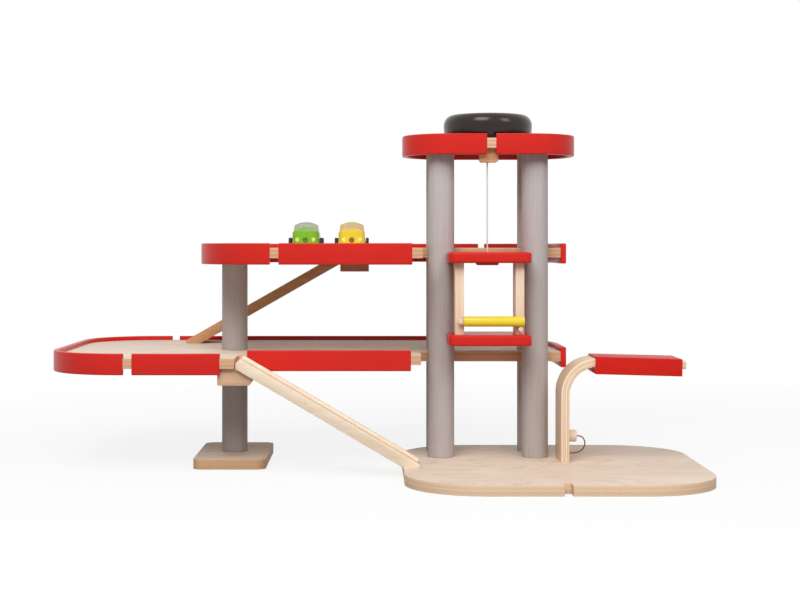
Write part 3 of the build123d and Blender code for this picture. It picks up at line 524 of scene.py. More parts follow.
def painted(name, colour, shade, along="X", gloss=0.28, shine=0.35, coat=0.12, telegraph=0.04):
    """Lacquer on wood: an even colour, a faint flow in the film and the grain just showing."""
    f = Finish(name)
    run, across, deep = grain_axes(f, along)
    cloud = f.noise(f.point(run * 14, across * 14, deep * 14), detail=2.0)
    grain = f.noise(f.point(run * 18, across * 420, deep * 420), detail=3.0)
    peel = f.noise(f.point(run * 520, across * 520, deep * 520), detail=1.0)
    tone = f.mix((cloud * 0.8).clamp() * 0.5 + (grain - 0.45).clamp() * 0.5, colour, shade)
    return f.surface(tone, gloss + cloud * 0.08, f.bump(grain * 0.7 + peel * 0.3, telegraph),
                     Specular_IOR_Level=shine, Coat_Weight=coat, Coat_Roughness=0.1)


def stained_column():
    """Thin grey stain on beech: the upright grain shows as fine lighter and darker lines."""
    f = Finish("grey_stain")
    x, y, z = f.place()
    broad = f.noise(f.point(x * 160, y * 160, z * 7), detail=2.0)
    lines = f.noise(f.point(x * 1300, y * 1300, z * 22), detail=3.0)
    flecks = f.noise(f.point(x * 1500, y * 1500, z * 190), detail=1.0)
    fleck = ((flecks - 0.64) * 9).clamp()
    tone = f.mix((broad * 1.4 - 0.2).clamp() * 0.6, linear("beb7b5"), linear("aea6a3"))
    tone = f.mix(((lines - 0.42) * 1.1).clamp(), tone, linear("9e9592"))
    tone = f.mix(fleck * 0.25, tone, linear("7c7370"))
    return f.surface(tone, 0.52 + lines * 0.12, f.bump(lines * 0.7 - fleck * 0.5, 0.05),
                     Specular_IOR_Level=0.2, Coat_Weight=0.02, Coat_Roughness=0.3)


def bent_laminate():
    """Pump arch: plies that follow the bend on its two edges, plain veneer on its faces."""
    f = Finish("bent_laminate")
    x, y, z = f.place()
    edge = ((abs(f.facing()[1]) - 0.5) * 6).clamp()
    fall = math.tan(math.radians(ARCH_DROOP))
    top, radius, left = ARCH_TOP * MM, ARCH_BEND_R * MM, ARCH_X * MM
    level = z + (x - left) * fall
    aside = (left + radius - x).at_least(0.0)
    above = (level - (top - radius)).at_least(0.0)
    depth = radius - (aside * aside + above * above).root()
    along = x + z
    layer = depth / (ARCH_T * MM / 4)
    line = (0.5 - abs(layer.part() - 0.5)) < 0.07
    fibres = f.noise(f.point(along * 60, depth * 1600, y * 1200), detail=2.0)
    figure = f.noise(f.point(along * 8, y * 90, depth * 90), detail=3.0, twist=0.8)
    face = f.mix((figure * 1.3 - 0.15).clamp(), linear("f0d8bc"), linear("e2c29f"))
    side = f.mix((layer * 0.5).part() > 0.5, linear("f4dfc6"), linear("ebd0b0"))
    side = f.mix(line * 0.75, side, linear("a88260"))
    tone = f.mix(edge, face, side)
    tone = f.mix((fibres - 0.42).clamp() * 0.5, tone, linear("c49c72"))
    return f.surface(tone, 0.4 + fibres * 0.12, f.bump(fibres - line * edge * 0.4, 0.05),
                     Specular_IOR_Level=0.35, Coat_Weight=0.1, Coat_Roughness=0.22)


def tyre_rubber():
    f = Finish("tyre_black")
    x, y, z = f.place()
    grit = f.noise(f.point(x * 1800, y * 1800, z * 1800), detail=2.0)
    tone = f.mix(grit, linear("262324"), linear("181617"))
    return f.surface(tone, 0.42 + grit * 0.2, f.bump(grit, 0.04), Specular_IOR_Level=0.4)


def tinted_window(name, colour):
    """Milky tinted plastic of a car's cabin."""
    f = Finish(name)
    x, y, z = f.place()
    haze = f.noise(f.point(x * 220, y * 220, z * 220), detail=2.0)
    tone = f.mix(haze * 0.5, linear(colour), darker(linear(colour), 0.86))
    return f.surface(tone, 0.14 + haze * 0.1, f.bump(haze, 0.02), Transmission_Weight=0.6, IOR=1.45,
                     Specular_IOR_Level=0.5)


def zinc():
    f = Finish("zinc")
    x, y, z = f.place()
    scratch = f.noise(f.point(x * 900, y * 900, z * 200), detail=2.0)
    tone = f.mix(scratch, linear("b9b9bd"), linear("8b8b90"))
    return f.surface(tone, 0.28 + scratch * 0.2, f.bump(scratch, 0.02), Metallic=1.0)


def fibre(name, light, dark, pitch, along="Z"):
    """Cord fibres: fine strands with a little fuzz."""
    f = Finish(name)
    run, across, deep = grain_axes(f, along)
    strands = f.noise(f.point(run * pitch, across * 2600, deep * 2600), detail=2.0)
    tone = f.mix((strands * 1.4 - 0.2).clamp(), light, dark)
    return f.surface(tone, 0.75, f.bump(strands, 0.08), Sheen_Weight=0.3)


# ------------------------------ sizes of the part
BOARD_T = 12.0
LOW_TOP, UP_TOP, ROOF_TOP = 139.0, 267.0, 399.0
RIM_T, RIM_H, RIM_LIP, RIM_GAP = 7.0, 25.0, 5.5, 10.0
LOW_LEFT, UP_LEFT, DECK_RIGHT = -596.0, -418.0, 28.0
DECK_FRONT, DECK_REAR, LANE_IN_Y, REAR_LANE_NEAR, SHAFT_BACK = -44.0, 330.0, 17.0, 246.0, 79.0
FRONT_JOINT_X, REAR_JOINT_X, SHAFT_RIM_END, LANE_RIM_END = -371.0, -236.0, -165.0, -246.0
FRONT_GAP_LOW_X, REAR_GAP_LOW_X, FRONT_GAP_UP_X, REAR_GAP_UP_X = -490.0, -478.0, -320.0, -56.0
END_CORNER_R, REAR_RIGHT_R, LANE_CORNER_R, ROOF_CORNER_R = 90.0, 170.0, 60.0, 60.0
ROOF_X, TOWER_Y, ROOF_L, ROOF_W, ROOF_GAP = -68.0, 90.0, 212.0, 132.0, 11.0
KNOB_R, KNOB_WALL, KNOB_RECESS_H = 54.7, 4.0, 12.0
COLUMN_XS, FRONT_COLUMN_Y, COLUMN_R, CAGE_GUIDE_CLEAR = (-127.2, -12.8), 60.0, 16.0, 1.2
CAGE_CORNER_R, CAGE_EDGE_R = 8.0, 3.0
CORD_X, CORD_Y, CORD_HOLE_D = -72.0, 44.0, 3.0
ARCH_X, ARCH_T, ARCH_W, ARCH_FRONT, ARCH_TOP = 12.5, 10.0, 59.0, 2.0, 137.0
ARCH_BEND_R, ARCH_TIP_X, ARCH_DROOP = 44.0, 161.0, 1.5
NOZZLE_Y, NOZZLE_Z, NOZZLE_R, NOZZLE_L, NOZZLE_PEG_R, NOZZLE_PEG_L = 31.0, 41.0, 7.2, 11.5, 4.0, 8.0
GATE_Y, GATE_Z, GATE_R, GATE_PIVOT_X = -4.8, 180.0, 6.0, -107.0
GATE_BAR_LEFT, GATE_BAR_RIGHT = -103.0, -31.5
SCREW_R, SCREW_HEAD_R, SCREW_SINK, SCREW_LEN = 2.0, 4.0, 0.4, 30.0
CAR_PITCH, CAR_MIDDLE_Y = 55.5, 58.0

# sizes of the finer forms that only this scene has, and the turns of pieces that lie down
KNOB_EDGE_R, KNOB_EDGE_H, GATE_EYE_R, GATE_TONGUE_HALF, CAR_CREST = 11.5, 13.5, 3.5, 2.5, 0.6
CAR_NOSE_L, CAR_NOSE_DROP, CAR_TAIL_L, CAR_TAIL_DROP = 15, 4.6, 8, 2.5
CAR_TOP_SHARE, CAR_CORNER_R, CAR_ARCH_R, CAR_EDGE_R = 0.93, 9, 25, 2.6
CABIN_FOOT, CABIN_HALF_W, CABIN_PAST_FRONT, CABIN_PAST_REAR = 6, 15.6, 1.5, 2.5
CABIN_TOP_SHARE, CABIN_RAKE_FRONT, CABIN_RAKE_REAR, CABIN_ARCH_R, CABIN_EDGE_R = 0.88, 14.5, -10.0, 28, 3.2
LAMP_OUT, LAMP_UP, LAMP_SUNK, GRILLE_UP, GRILLE_SUNK, WHEEL_W = 9.6, 6.6, 1.0, 6.0, 0.7, 3.7
HOSE_R, CORD_LAY_R, STRAND_R, CORD_PITCH = 0.75, 0.46, 0.52, 5.0
CROSS_LONG, CROSS_WIDE, CROSS_DEEP = 4.6, 1.0, 1.3
TO_RIGHT, TO_FRONT = (0, math.radians(90), 0), (math.radians(90), 0, 0)

# metres along its axis: an upright or a crosswise edge runs further than this, a level one less
UPRIGHT_EDGE, CROSSWISE_EDGE, LEVEL_EDGE = 0.01, 0.001, 1e-5

FACE = tones("f2e3d2", "e4cdb5")
EDGE = tones("e8cbad", "d6ae88")
# painted light: the decks take a lighter copy of the base's plywood faces, which stands in for more light on
# the deck tops
DECK_FACE_PAINTED_LIGHT = tones("faecdc", "eed9c3")
# deck edges: darker, more orange plies, partly their own tone and partly painted shade of the gaps and the
# recess under the decks
DECK_EDGE_AND_SHADE = tones("ddb08d", "c8946e")
ROOF_EDGE = tones("e8bfa0", "d4a480")
PALE_WOOD = tones("f6e6d3", "e8cfb0")
PINK_WOOD = tones("efd5b9", "dcb691")
POST_WOOD = tones("f3dcc6", "e3c2a4")
REST_WOOD = tones("e6c1a4", "d0a07c")
# painted shade: the rear rest block's darker brown stands in for the shade under the upper deck
REAR_REST_SHADE_WOOD = tones("de9873", "bd7350")
# darker tan beech: on the rear ramp it is painted shade; the hidden dowels, drum and spindle take it as
# their own wood
TAN_WOOD_AND_SHADE = tones("e0b084", "c08a5a")
FOOT_TONES = tones("d9b088", "c2936a")
# painted light: the foot plate's faces are lighter than the base's, standing in for light on its top under
# the lower deck
FOOT_FACE_PAINTED_LIGHT = tones("fbead8", "f0d6bd")
# painted shade: the cord guide's orange tone stands in for the shade under the roof board
GUIDE_SHADE_WOOD = tones("efb085", "d38f63")

ply_base = plywood("ply_base", 0, FACE, EDGE)
ply_low = plywood("ply_low", LOW_TOP - BOARD_T, DECK_FACE_PAINTED_LIGHT, DECK_EDGE_AND_SHADE, ply_share=0.45, seed=3.1)
ply_up = plywood("ply_up", UP_TOP - BOARD_T, DECK_FACE_PAINTED_LIGHT, DECK_EDGE_AND_SHADE, ply_share=0.6, seed=7.7)
ply_roof = plywood("ply_roof", ROOF_TOP - BOARD_T, FACE, ROOF_EDGE, ply_share=0.8, seed=5.3)
# the foot plate's lighter faces are painted light
ply_foot_painted_light = plywood("ply_foot_painted_light", 0, FOOT_FACE_PAINTED_LIGHT, FOOT_TONES, ply_share=0.12, seed=9.4)
pale_x = bare_wood("pale_beech_x", *PALE_WOOD, "X")
pale_z = bare_wood("pale_beech_z", *POST_WOOD, "Z", seed=2.2)
pink_x = bare_wood("beech_x", *PINK_WOOD, "X", seed=6.1)
# tan beech: painted shade on the rear ramp, own wood colour on the hidden pieces
tan_and_shade_x = bare_wood("tan_beech_and_painted_shade_x", *TAN_WOOD_AND_SHADE, "X", seed=4.4)
guide_shade_x = bare_wood("guide_beech_painted_shade_x", *GUIDE_SHADE_WOOD, "X", seed=1.7)
rest_x = bare_wood("rest_beech_x", *REST_WOOD, "X", seed=8.2)
# darker copy of the rest wood for the rear rest block: painted shade
rear_rest_shade_x = bare_wood("rest_beech_painted_shade_x", *REAR_REST_SHADE_WOOD, "X", seed=5.9)
red_x = painted("red_lacquer", *tones("d3271f", "c21e17"), shine=0.2, coat=0.03)
red_matt = painted("red_lacquer_matt", *tones("cf2a22", "be2019"), shine=0.02, coat=0.0)
grey_z = stained_column()
black_x = painted("black_lacquer", *tones("23120f", "180d0a"), gloss=0.17, shine=0.42, coat=0.0,
                  telegraph=0.004)
yellow_x = painted("yellow_lacquer", *tones("efd838", "dcc026"))
arch_ply = bent_laminate()
steel = zinc()
cord_white = fibre("cord_white", *tones("f0eeea", "c8c3bd"), 600)
hose_red = fibre("hose_red", *tones("98262b", "661318"), 900, "X")
CAR_FILM = {"along": "Y", "gloss": 0.26, "shine": 0.15, "coat": 0.0}
car_paints = {"green": painted("green_lacquer", *tones("7db52c", "6aa020"), **CAR_FILM),
              "yellow": painted("yellow_car_lacquer", *tones("e4c736", "d3ae22"), **CAR_FILM)}
car_windows = {"green": tinted_window("window_green", "e2dfd0"),
               "yellow": tinted_window("window_amber", "f2ddb6")}
rubber = tyre_rubber()
car_lamps = {"green": painted("lamp_green", *tones("cfe07e", "b4cc58"), gloss=0.2),
             "yellow": painted("lamp_amber", *tones("f3e39a", "e2cd74"), gloss=0.2)}
car_grilles = {"green": painted("grille_green", *tones("4c7f1c", "3c6a12"), gloss=0.3),
               "yellow": painted("grille_brown", *tones("8a6420", "6f4c12"), gloss=0.3)}


# ------------------------------ cords
def make_hose():
    """Thin hose from the nozzle back into the post, on its own smooth spline."""
    route = [(34.0, 31, 41.0), (39.6, 31, 41.0), (43.7, 31, 36.9), (44.9, 31, 31.4), (42.6, 31, 25.6),
             (37.6, 31, 21.4), (30.0, 31, 20.0), (22.5, 31, 20.6)]
    line = bpy.data.curves.new("hose", "CURVE")
    line.dimensions = "3D"
    spline = line.splines.new("NURBS")
    spline.points.add(len(route) - 1)
    for point, place in zip(spline.points, route):
        point.co = (*(Vector(place) * MM), 1.0)
    spline.order_u = 3
    spline.use_endpoint_u = True
    spline.resolution_u = 12
    line.bevel_depth = HOSE_R * MM
    line.bevel_resolution = 4
    line.use_fill_caps = True
    hose = bpy.data.objects.new("hose", line)
    show(hose)
    line.materials.append(hose_red)
    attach(hose, "nozzle")
    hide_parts("pump_hose")


def make_lift_cord():
    """Three-strand cord: one small circle three times round the axis, wound upwards."""
    low, high = (corner.z for corner in span("lift_cord"))
    steps_per_turn = 12
    strands = []
    for i in range(3):
        a = math.radians(120 * i)
        place = (CORD_LAY_R * math.cos(a), CORD_LAY_R * math.sin(a), 0)
        strand = begin(f"strand_{i}", bpy.ops.mesh.primitive_circle_add, at=place, radius=STRAND_R,
                       vertices=10)
        end()
        strands.append(strand)
    cord = join("lift_cord_piece", strands)
    turns = (high - low) / CORD_PITCH
    steps = int(turns * steps_per_turn)
    modify(cord, "SCREW", axis="Z", angle=math.radians(360) * turns, screw_offset=(high - low) * MM,
           steps=steps, render_steps=steps, use_merge_vertices=False)
    cord.location = Vector((CORD_X, CORD_Y, low)) * MM
    settle(cord)
    reopen(cord)
    close_shell()
    end()
    bpy.ops.object.shade_smooth_by_angle(angle=math.radians(60))
    cord.data.materials.append(cord_white)
    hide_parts("lift_cord")
    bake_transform(cord)


make_hose()
make_lift_cord()

# ------------------------------ rims
MID = RIM_T / 2
FRONT_Y, REAR_Y, RIGHT_LEN = DECK_FRONT + MID, DECK_REAR - MID, DECK_REAR - REAR_RIGHT_R - SHAFT_BACK
END_R, SWEEP_R, LANE_R, ROOF_R = (r - MID for r in (END_CORNER_R, REAR_RIGHT_R, LANE_CORNER_R,
                                                    ROOF_CORNER_R))
SWEEP_X = DECK_RIGHT - REAR_RIGHT_R
NOTCH_BEFORE, NOTCH_PAST = 17, 10
NOTCH_LEFT, NOTCH_RIGHT = FRONT_JOINT_X - NOTCH_BEFORE, FRONT_JOINT_X + NOTCH_PAST
ROOF_RUN = ROOF_L / 2 - ROOF_CORNER_R - ROOF_GAP / 2
ROOF_SIDE = ROOF_W - 2 * ROOF_CORNER_R
ROOF_FRONT_Y = TOWER_Y - ROOF_W / 2 + MID

# the cuts of the upper rim that fall on an arc, as degrees round it
right_cut = math.degrees(math.asin((REAR_GAP_UP_X - SWEEP_X) / SWEEP_R))
rear_cut = math.degrees(math.asin((REAR_GAP_UP_X - RIM_GAP - SWEEP_X) / SWEEP_R))
end_cut = math.degrees(math.asin((UP_LEFT + END_CORNER_R - FRONT_GAP_UP_X + RIM_GAP) / END_R))


def on_sweep(degrees):
    """A point on the rear right sweep of the upper rim, so far round from the rear."""
    a = math.radians(degrees)
    return SWEEP_X + SWEEP_R * math.sin(a), DECK_REAR - REAR_RIGHT_R + SWEEP_R * math.cos(a)


end_x = UP_LEFT + END_CORNER_R - END_R * math.sin(math.radians(end_cut))
end_y = DECK_FRONT + END_CORNER_R - END_R * math.cos(math.radians(end_cut))
STRIPS = {
    "lower_rim_left": (LOW_TOP, (FRONT_GAP_LOW_X - RIM_GAP, FRONT_Y), 180,
                       [FRONT_GAP_LOW_X - RIM_GAP - LOW_LEFT - END_CORNER_R, (END_R, -90),
                        DECK_REAR - DECK_FRONT - 2 * END_CORNER_R, (END_R, -90),
                        REAR_GAP_LOW_X - RIM_GAP - LOW_LEFT - END_CORNER_R]),
    "lower_rim_front_left": (LOW_TOP, (FRONT_GAP_LOW_X, FRONT_Y), 0, [NOTCH_LEFT - FRONT_GAP_LOW_X]),
    "lower_rim_front_right": (LOW_TOP, (NOTCH_RIGHT, LANE_IN_Y + MID), 0, [SHAFT_RIM_END - NOTCH_RIGHT]),
    "lower_rim_rear": (LOW_TOP, (REAR_GAP_LOW_X, REAR_Y), 0,
                       [SWEEP_X - REAR_GAP_LOW_X, (SWEEP_R, -90), RIGHT_LEN]),
    "upper_rim_front": (UP_TOP, (FRONT_GAP_UP_X, FRONT_Y), 0, [SHAFT_RIM_END - FRONT_GAP_UP_X]),
    "upper_rim_rear": (UP_TOP, (REAR_JOINT_X, REAR_Y), 0, [SWEEP_X - REAR_JOINT_X, (SWEEP_R, -rear_cut)]),
    "upper_rim_right": (UP_TOP, on_sweep(right_cut), -right_cut, [(SWEEP_R, right_cut - 90), RIGHT_LEN]),
    "upper_rim_left": (UP_TOP, (end_x, end_y), 180 - end_cut,
                       [(END_R, end_cut - 90),
                        REAR_LANE_NEAR - DECK_FRONT - END_CORNER_R - LANE_CORNER_R, (LANE_R, -90),
                        LANE_RIM_END - UP_LEFT - LANE_CORNER_R]),
    "roof_rim_left": (ROOF_TOP, (ROOF_X - ROOF_GAP / 2, ROOF_FRONT_Y), 180,
                      [ROOF_RUN, (ROOF_R, -90), ROOF_SIDE, (ROOF_R, -90), ROOF_RUN]),
    "roof_rim_right": (ROOF_TOP, (ROOF_X + ROOF_GAP / 2, ROOF_FRONT_Y), 0,
                       [ROOF_RUN, (ROOF_R, 90), ROOF_SIDE, (ROOF_R, 90), ROOF_RUN]),
}
for node, (deck_top, start, heading, moves) in STRIPS.items():
    place = (*start, deck_top + RIM_LIP - RIM_H / 2)
    strip = bent_bar(node + "_piece", place, heading, (RIM_T, RIM_H), moves)
    finish(strip, "root", red_x, [node])

# ------------------------------ boards and columns
for node, ply, edge_r in (("base_board", ply_base, 0.9), ("foot_plate", ply_foot_painted_light, 2.2),
                          ("lower_deck", ply_low, 0.5), ("upper_deck", ply_up, 0.5),
                          ("roof_board", ply_roof, 0.5)):
    board = copied(node)
    round_edges(board, edge_r, segments=3)
    finish(board, "root", ply, [node])

for node in [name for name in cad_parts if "_column_" in name]:
    low, high = span(node)
    column = post(node + "_piece", (low + high) / 2, high.z - low.z, high.x - low.x)
    round_edges(column, 1.0, segments=3)
    finish(column, "root", grey_z, [node])


# ------------------------------ knob and its fixing
def make_knob():
    """Turned knob: hollow below, sides that curve in towards the roof, and a softly rolled top."""
    z0, z1 = ROOF_TOP + 1, span("lift_knob")[1].z
    ceiling, inner = z0 + KNOB_RECESS_H, KNOB_R - KNOB_WALL
    profile = [(1, ceiling), (inner, ceiling), (inner, z0 + 0.6), (inner + 0.5, z0), (KNOB_R - 3.4, z0),
               (KNOB_R - 2.2, z0 + 1), (KNOB_R - 1.2, z0 + 5), (KNOB_R - 0.4, z0 + 11)]
    profile += [(KNOB_R - KNOB_EDGE_R * (1 - across), z1 - KNOB_EDGE_H * (1 - up))
                for across, up in arc(1, 0, 88, 16)]
    profile += [(KNOB_R - 22, z1), (12, z1), (1, z1)]
    knob = turned("lift_knob_piece", profile, (ROOF_X, TOWER_Y, 0))
    finish(knob, "knob", black_x, ["lift_knob"], smooth=50)


def cross_recess(screw, x, y, z):
    """Cuts a cross for the driver into a head that faces down."""
    for wide, long in ((CROSS_LONG, CROSS_WIDE), (CROSS_WIDE, CROSS_LONG)):
        cut_away(screw, block("driver", (x - wide / 2, y - long / 2, z - 1),
                              (x + wide / 2, y + long / 2, z + CROSS_DEEP)))


def make_base_screws():
    """Countersunk screws seen from below."""
    post_x = ARCH_X + ARCH_T / 2
    foot_low, foot_high = span("support_column_low")
    rear_column_y = span("rear_column_low_left")[0].y + COLUMN_R
    places = [(x, y) for x in COLUMN_XS for y in (FRONT_COLUMN_Y, rear_column_y)]
    places += [(post_x, ARCH_FRONT + ARCH_W * share) for share in (0.25, 0.75)]
    places += [((foot_low.x + foot_high.x) / 2, (foot_low.y + foot_high.y) / 2)]
    neck_z = SCREW_SINK + SCREW_HEAD_R - SCREW_R
    profile = [(0.3, SCREW_SINK), (SCREW_HEAD_R - 0.1, SCREW_SINK), (SCREW_HEAD_R, SCREW_SINK + 0.15),
               (SCREW_R, neck_z), (SCREW_R, SCREW_LEN - 5), (0.4, SCREW_LEN)]
    first = turned("screw", profile, (0, 0, 0), steps=40)
    cross_recess(first, 0, 0, SCREW_SINK)
    screws = [moved(first, f"screw_{i}", (x, y, 0)) for i, (x, y) in enumerate(places)]
    bpy.data.objects.remove(first)
    finish(join("base_screws_piece", screws), "root", steel, ["base_screws"])


def make_spindle_fixing():
    """Washer and pan-head screw under the roof board."""
    low, high = span("spindle_fixing")
    washer_r, head_h, washer_t = (high.x - low.x) / 2, 1.2, 2.4
    seat = low.z + head_h
    washer = turned("washer", [(1, seat), (washer_r - 0.4, seat), (washer_r, seat + 0.3),
                               (washer_r, seat + washer_t - 0.3), (washer_r - 0.4, seat + washer_t),
                               (1, seat + washer_t)], (ROOF_X, TOWER_Y, 0))
    screw = turned("pan_screw", [(0.4, low.z), (2.2, low.z), (3.4, low.z + 0.3), (4.0, low.z + 0.9),
                                 (4.0, seat), (SCREW_R, seat), (SCREW_R, high.z)],
                   (ROOF_X, TOWER_Y, 0), steps=48)
    cross_recess(screw, ROOF_X, TOWER_Y, low.z - 0.4)
    finish(join("spindle_fixing_piece", [washer, screw]), "knob", steel, ["spindle_fixing"])


make_knob()
make_base_screws()
make_spindle_fixing()


# ------------------------------ lift cage
def make_cage_plate(node):
    """Plate with rolled edges, soft front corners and round notches for the columns."""
    low, high = span(node)
    plate = block(node + "_piece", low, high)
    reopen(plate)
    choose(plate, "EDGE", lambda middle, edge: run_along(edge, 2) > UPRIGHT_EDGE
           and middle.y < low.y + 1)
    bpy.ops.mesh.bevel(offset=CAGE_CORNER_R * MM, segments=8, affect="EDGES")
    choose(plate, "EDGE", lambda middle, edge: run_along(edge, 2) < LEVEL_EDGE
           and middle.y < high.y - 1)
    bpy.ops.mesh.bevel(offset=CAGE_EDGE_R * MM, segments=5, affect="EDGES")
    end()
    middle_z, tall = (low.z + high.z) / 2, high.z - low.z + 10
    for x in COLUMN_XS:
        cut_away(plate, post("notch", (x, FRONT_COLUMN_Y, middle_z), tall,
                             2 * (COLUMN_R + CAGE_GUIDE_CLEAR)))
    if node == "cage_top":
        cut_away(plate, post("cord_hole", (CORD_X, CORD_Y, middle_z), tall, CORD_HOLE_D, sides=24))
    round_edges(plate, 0.6, segments=2, angle=50)
    finish(plate, "cage", red_x, [node])


def make_gate():
    """Bar with softened ends and its bare tongue, the headed pin and the rest peg."""
    ends = [(GATE_R - 0.8, 0), (GATE_R - 0.25, 0.25), (GATE_R, 0.8)]
    profile = [(r, GATE_BAR_LEFT + h) for r, h in ends]
    profile += [(r, GATE_BAR_RIGHT - h) for r, h in reversed(ends)]
    bar = turned("gate_round", profile, (0, GATE_Y, GATE_Z), lean=TO_RIGHT)
    bar.data.materials.append(yellow_x)
    eye_r, half = GATE_EYE_R, GATE_TONGUE_HALF
    tongue = block("gate_tongue", (GATE_PIVOT_X - eye_r, GATE_Y - half, GATE_Z - eye_r),
                   (GATE_BAR_LEFT + 2, GATE_Y + half, GATE_Z + eye_r))
    reopen(tongue)
    choose(tongue, "EDGE", lambda middle, edge: run_along(edge, 1) > CROSSWISE_EDGE
           and middle.x < GATE_PIVOT_X)
    bpy.ops.mesh.bevel(offset=(eye_r - 0.02) * MM, segments=8, affect="EDGES")
    end()
    cut_away(tongue, post("pin_hole", (GATE_PIVOT_X, GATE_Y, GATE_Z), 4 * half, 4.2, turn=TO_FRONT,
                          sides=40))
    round_edges(tongue, 0.4, segments=2, angle=50)
    tongue.data.materials.append(pink_x)
    bar = join("gate_bar_piece", [bar, tongue])
    bpy.ops.object.shade_smooth_by_angle(angle=math.radians(35))
    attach(bar, "gate")
    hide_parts("gate_bar")

    pin_low, pin_high = span("gate_pin")
    back, front = -pin_high.y, -pin_low.y
    pin = turned("gate_pin_piece", [(1.8, back), (2, back + 0.3), (2, front - 1.6), (3.0, front - 1.6),
                                    (3.2, front - 1.3), (3.2, front - 0.7), (2.7, front - 0.2), (1, front)],
                 (GATE_PIVOT_X, 0, GATE_Z), lean=TO_FRONT, steps=48)
    finish(pin, "cage", pink_x, ["gate_pin"])
    peg_low, peg_high = span("gate_rest")
    back, front = -peg_high.y, -peg_low.y
    peg = turned("gate_rest_piece", [(2.7, back), (3, back + 0.3), (3, front - 0.8), (2.8, front - 0.25),
                                     (2.2, front), (0.5, front)],
                 ((peg_low.x + peg_high.x) / 2, 0, (peg_low.z + peg_high.z) / 2), lean=TO_FRONT, steps=48)
    finish(peg, "cage", pink_x, ["gate_rest"])


make_cage_plate("cage_floor")
make_cage_plate("cage_top")
make_gate()

# ------------------------------ CAD forms with softened edges
# cord guide: its orange beech is painted shade under the roof board
# rear ramp: its tan beech is painted shade
for node, body, material, slot, width in (
        ("cage_post_left", "cage", pale_z, "wood", 0.7), ("cage_post_right", "cage", pale_z, "wood", 0.7),
        ("cord_anchor", "cage", red_x, "red_paint", 0.4), ("canopy", "root", red_matt, "red_paint", 0.5),
        ("cord_guide", "root", guide_shade_x, "wood", 0.8), ("ramp_rests", "root", [rest_x, rear_rest_shade_x], "wood", 0.6),
        ("front_ramp", "front_ramp", pale_x, "wood", 0.6), ("rear_ramp", "rear_ramp", tan_and_shade_x, "wood", 0.6)):
    piece = copied(node)
    round_edges(piece, width, segments=2)
    finish(piece, body, material, [node])
    # the rear rest block, behind the tower's middle, takes the darker copy of the rest wood: painted shade
    if node == "ramp_rests":
        for polygon in piece.data.polygons:
            polygon.material_index = int(polygon.center.y > TOWER_Y * MM)


# ------------------------------ fuel pump
def make_arch():
    """Laminated strip bent round a quarter turn and a little more, so the arm falls to the right."""
    middle_r = ARCH_BEND_R - ARCH_T / 2
    droop = math.radians(ARCH_DROOP)
    bend_x = ARCH_X + ARCH_BEND_R
    bend_z = ARCH_TOP - math.tan(droop) * ARCH_BEND_R - ARCH_BEND_R / math.cos(droop)
    arm = (ARCH_TIP_X - bend_x - middle_r * math.sin(droop)) / math.cos(droop)
    start = (ARCH_X + ARCH_T / 2, ARCH_FRONT + ARCH_W / 2, BOARD_T)
    moves = [bend_z - BOARD_T, (middle_r, -90 - ARCH_DROOP), arm]
    arch = bent_bar("pump_arch_piece", start, 90, (ARCH_T, ARCH_W), moves, corner=1.2, upright=True)
    finish(arch, "root", arch_ply, ["pump_arch"])


def make_nozzle():
    """Turned nozzle with its peg behind and a small seat for the hose in front."""
    r, peg = NOZZLE_R, NOZZLE_PEG_R
    profile = [(peg - 0.6, -NOZZLE_PEG_L), (peg, 0.6 - NOZZLE_PEG_L), (peg, 0.3), (r - 0.4, 0.3), (r, 0.7),
               (r, NOZZLE_L - 1.2), (r - 0.3, NOZZLE_L - 0.5), (r - 1.0, NOZZLE_L), (1.5, NOZZLE_L),
               (1.1, NOZZLE_L - 0.5), (0.3, NOZZLE_L - 0.5)]
    nozzle = turned("pump_nozzle_piece", profile, (ARCH_X + ARCH_T, NOZZLE_Y, NOZZLE_Z),
                    lean=TO_RIGHT, steps=64)
    finish(nozzle, "nozzle", pale_x, ["pump_nozzle"])


make_arch()
make_nozzle()


# ------------------------------ cars
def arch_over(piece, x, crest, radius):
    """Arches a piece's top: what lies outside a long round bar along Y is cut away."""
    middle = (x, CAR_MIDDLE_Y, crest - radius)
    bar = post("arch_bar", middle, 200, 2 * radius, turn=TO_FRONT, sides=192)
    modify(piece, "BOOLEAN", operation="INTERSECT", solver="EXACT", object=bar)
    bpy.data.objects.remove(bar)


def make_car_body(name, low, high):
    """Painted body: lower nose, round nose and tail corners and an arched top."""
    x = (low.x + high.x) / 2
    high = Vector((high.x, high.y, high.z + CAR_CREST))
    body = block(name, low, high)
    reopen(body)
    for y in (low.y + CAR_NOSE_L, high.y - CAR_TAIL_L):
        select_everything()
        bpy.ops.mesh.bisect(plane_co=Vector((0, y, 0)) * MM, plane_no=(0, 1, 0))
    choose(body, "VERT", lambda spot, vert: spot.z > high.z - 1)
    bpy.ops.transform.resize(value=(CAR_TOP_SHARE, 1, 1), center_override=Vector((x, 0, high.z)) * MM)
    for drop, y in ((CAR_NOSE_DROP, low.y), (CAR_TAIL_DROP, high.y)):
        choose(body, "VERT", lambda spot, vert: spot.z > high.z - 1 and abs(spot.y - y) < 0.1)
        bpy.ops.transform.translate(value=(0, 0, -drop * MM))
    choose(body, "EDGE", lambda spot, edge: run_along(edge, 2) > UPRIGHT_EDGE
           and (spot.y < low.y + 1 or spot.y > high.y - 1))
    bpy.ops.mesh.bevel(offset=CAR_CORNER_R * MM, segments=9, affect="EDGES")
    end()
    arch_over(body, x, high.z, CAR_ARCH_R)
    round_edges(body, CAR_EDGE_R, segments=5, angle=28)
    return body


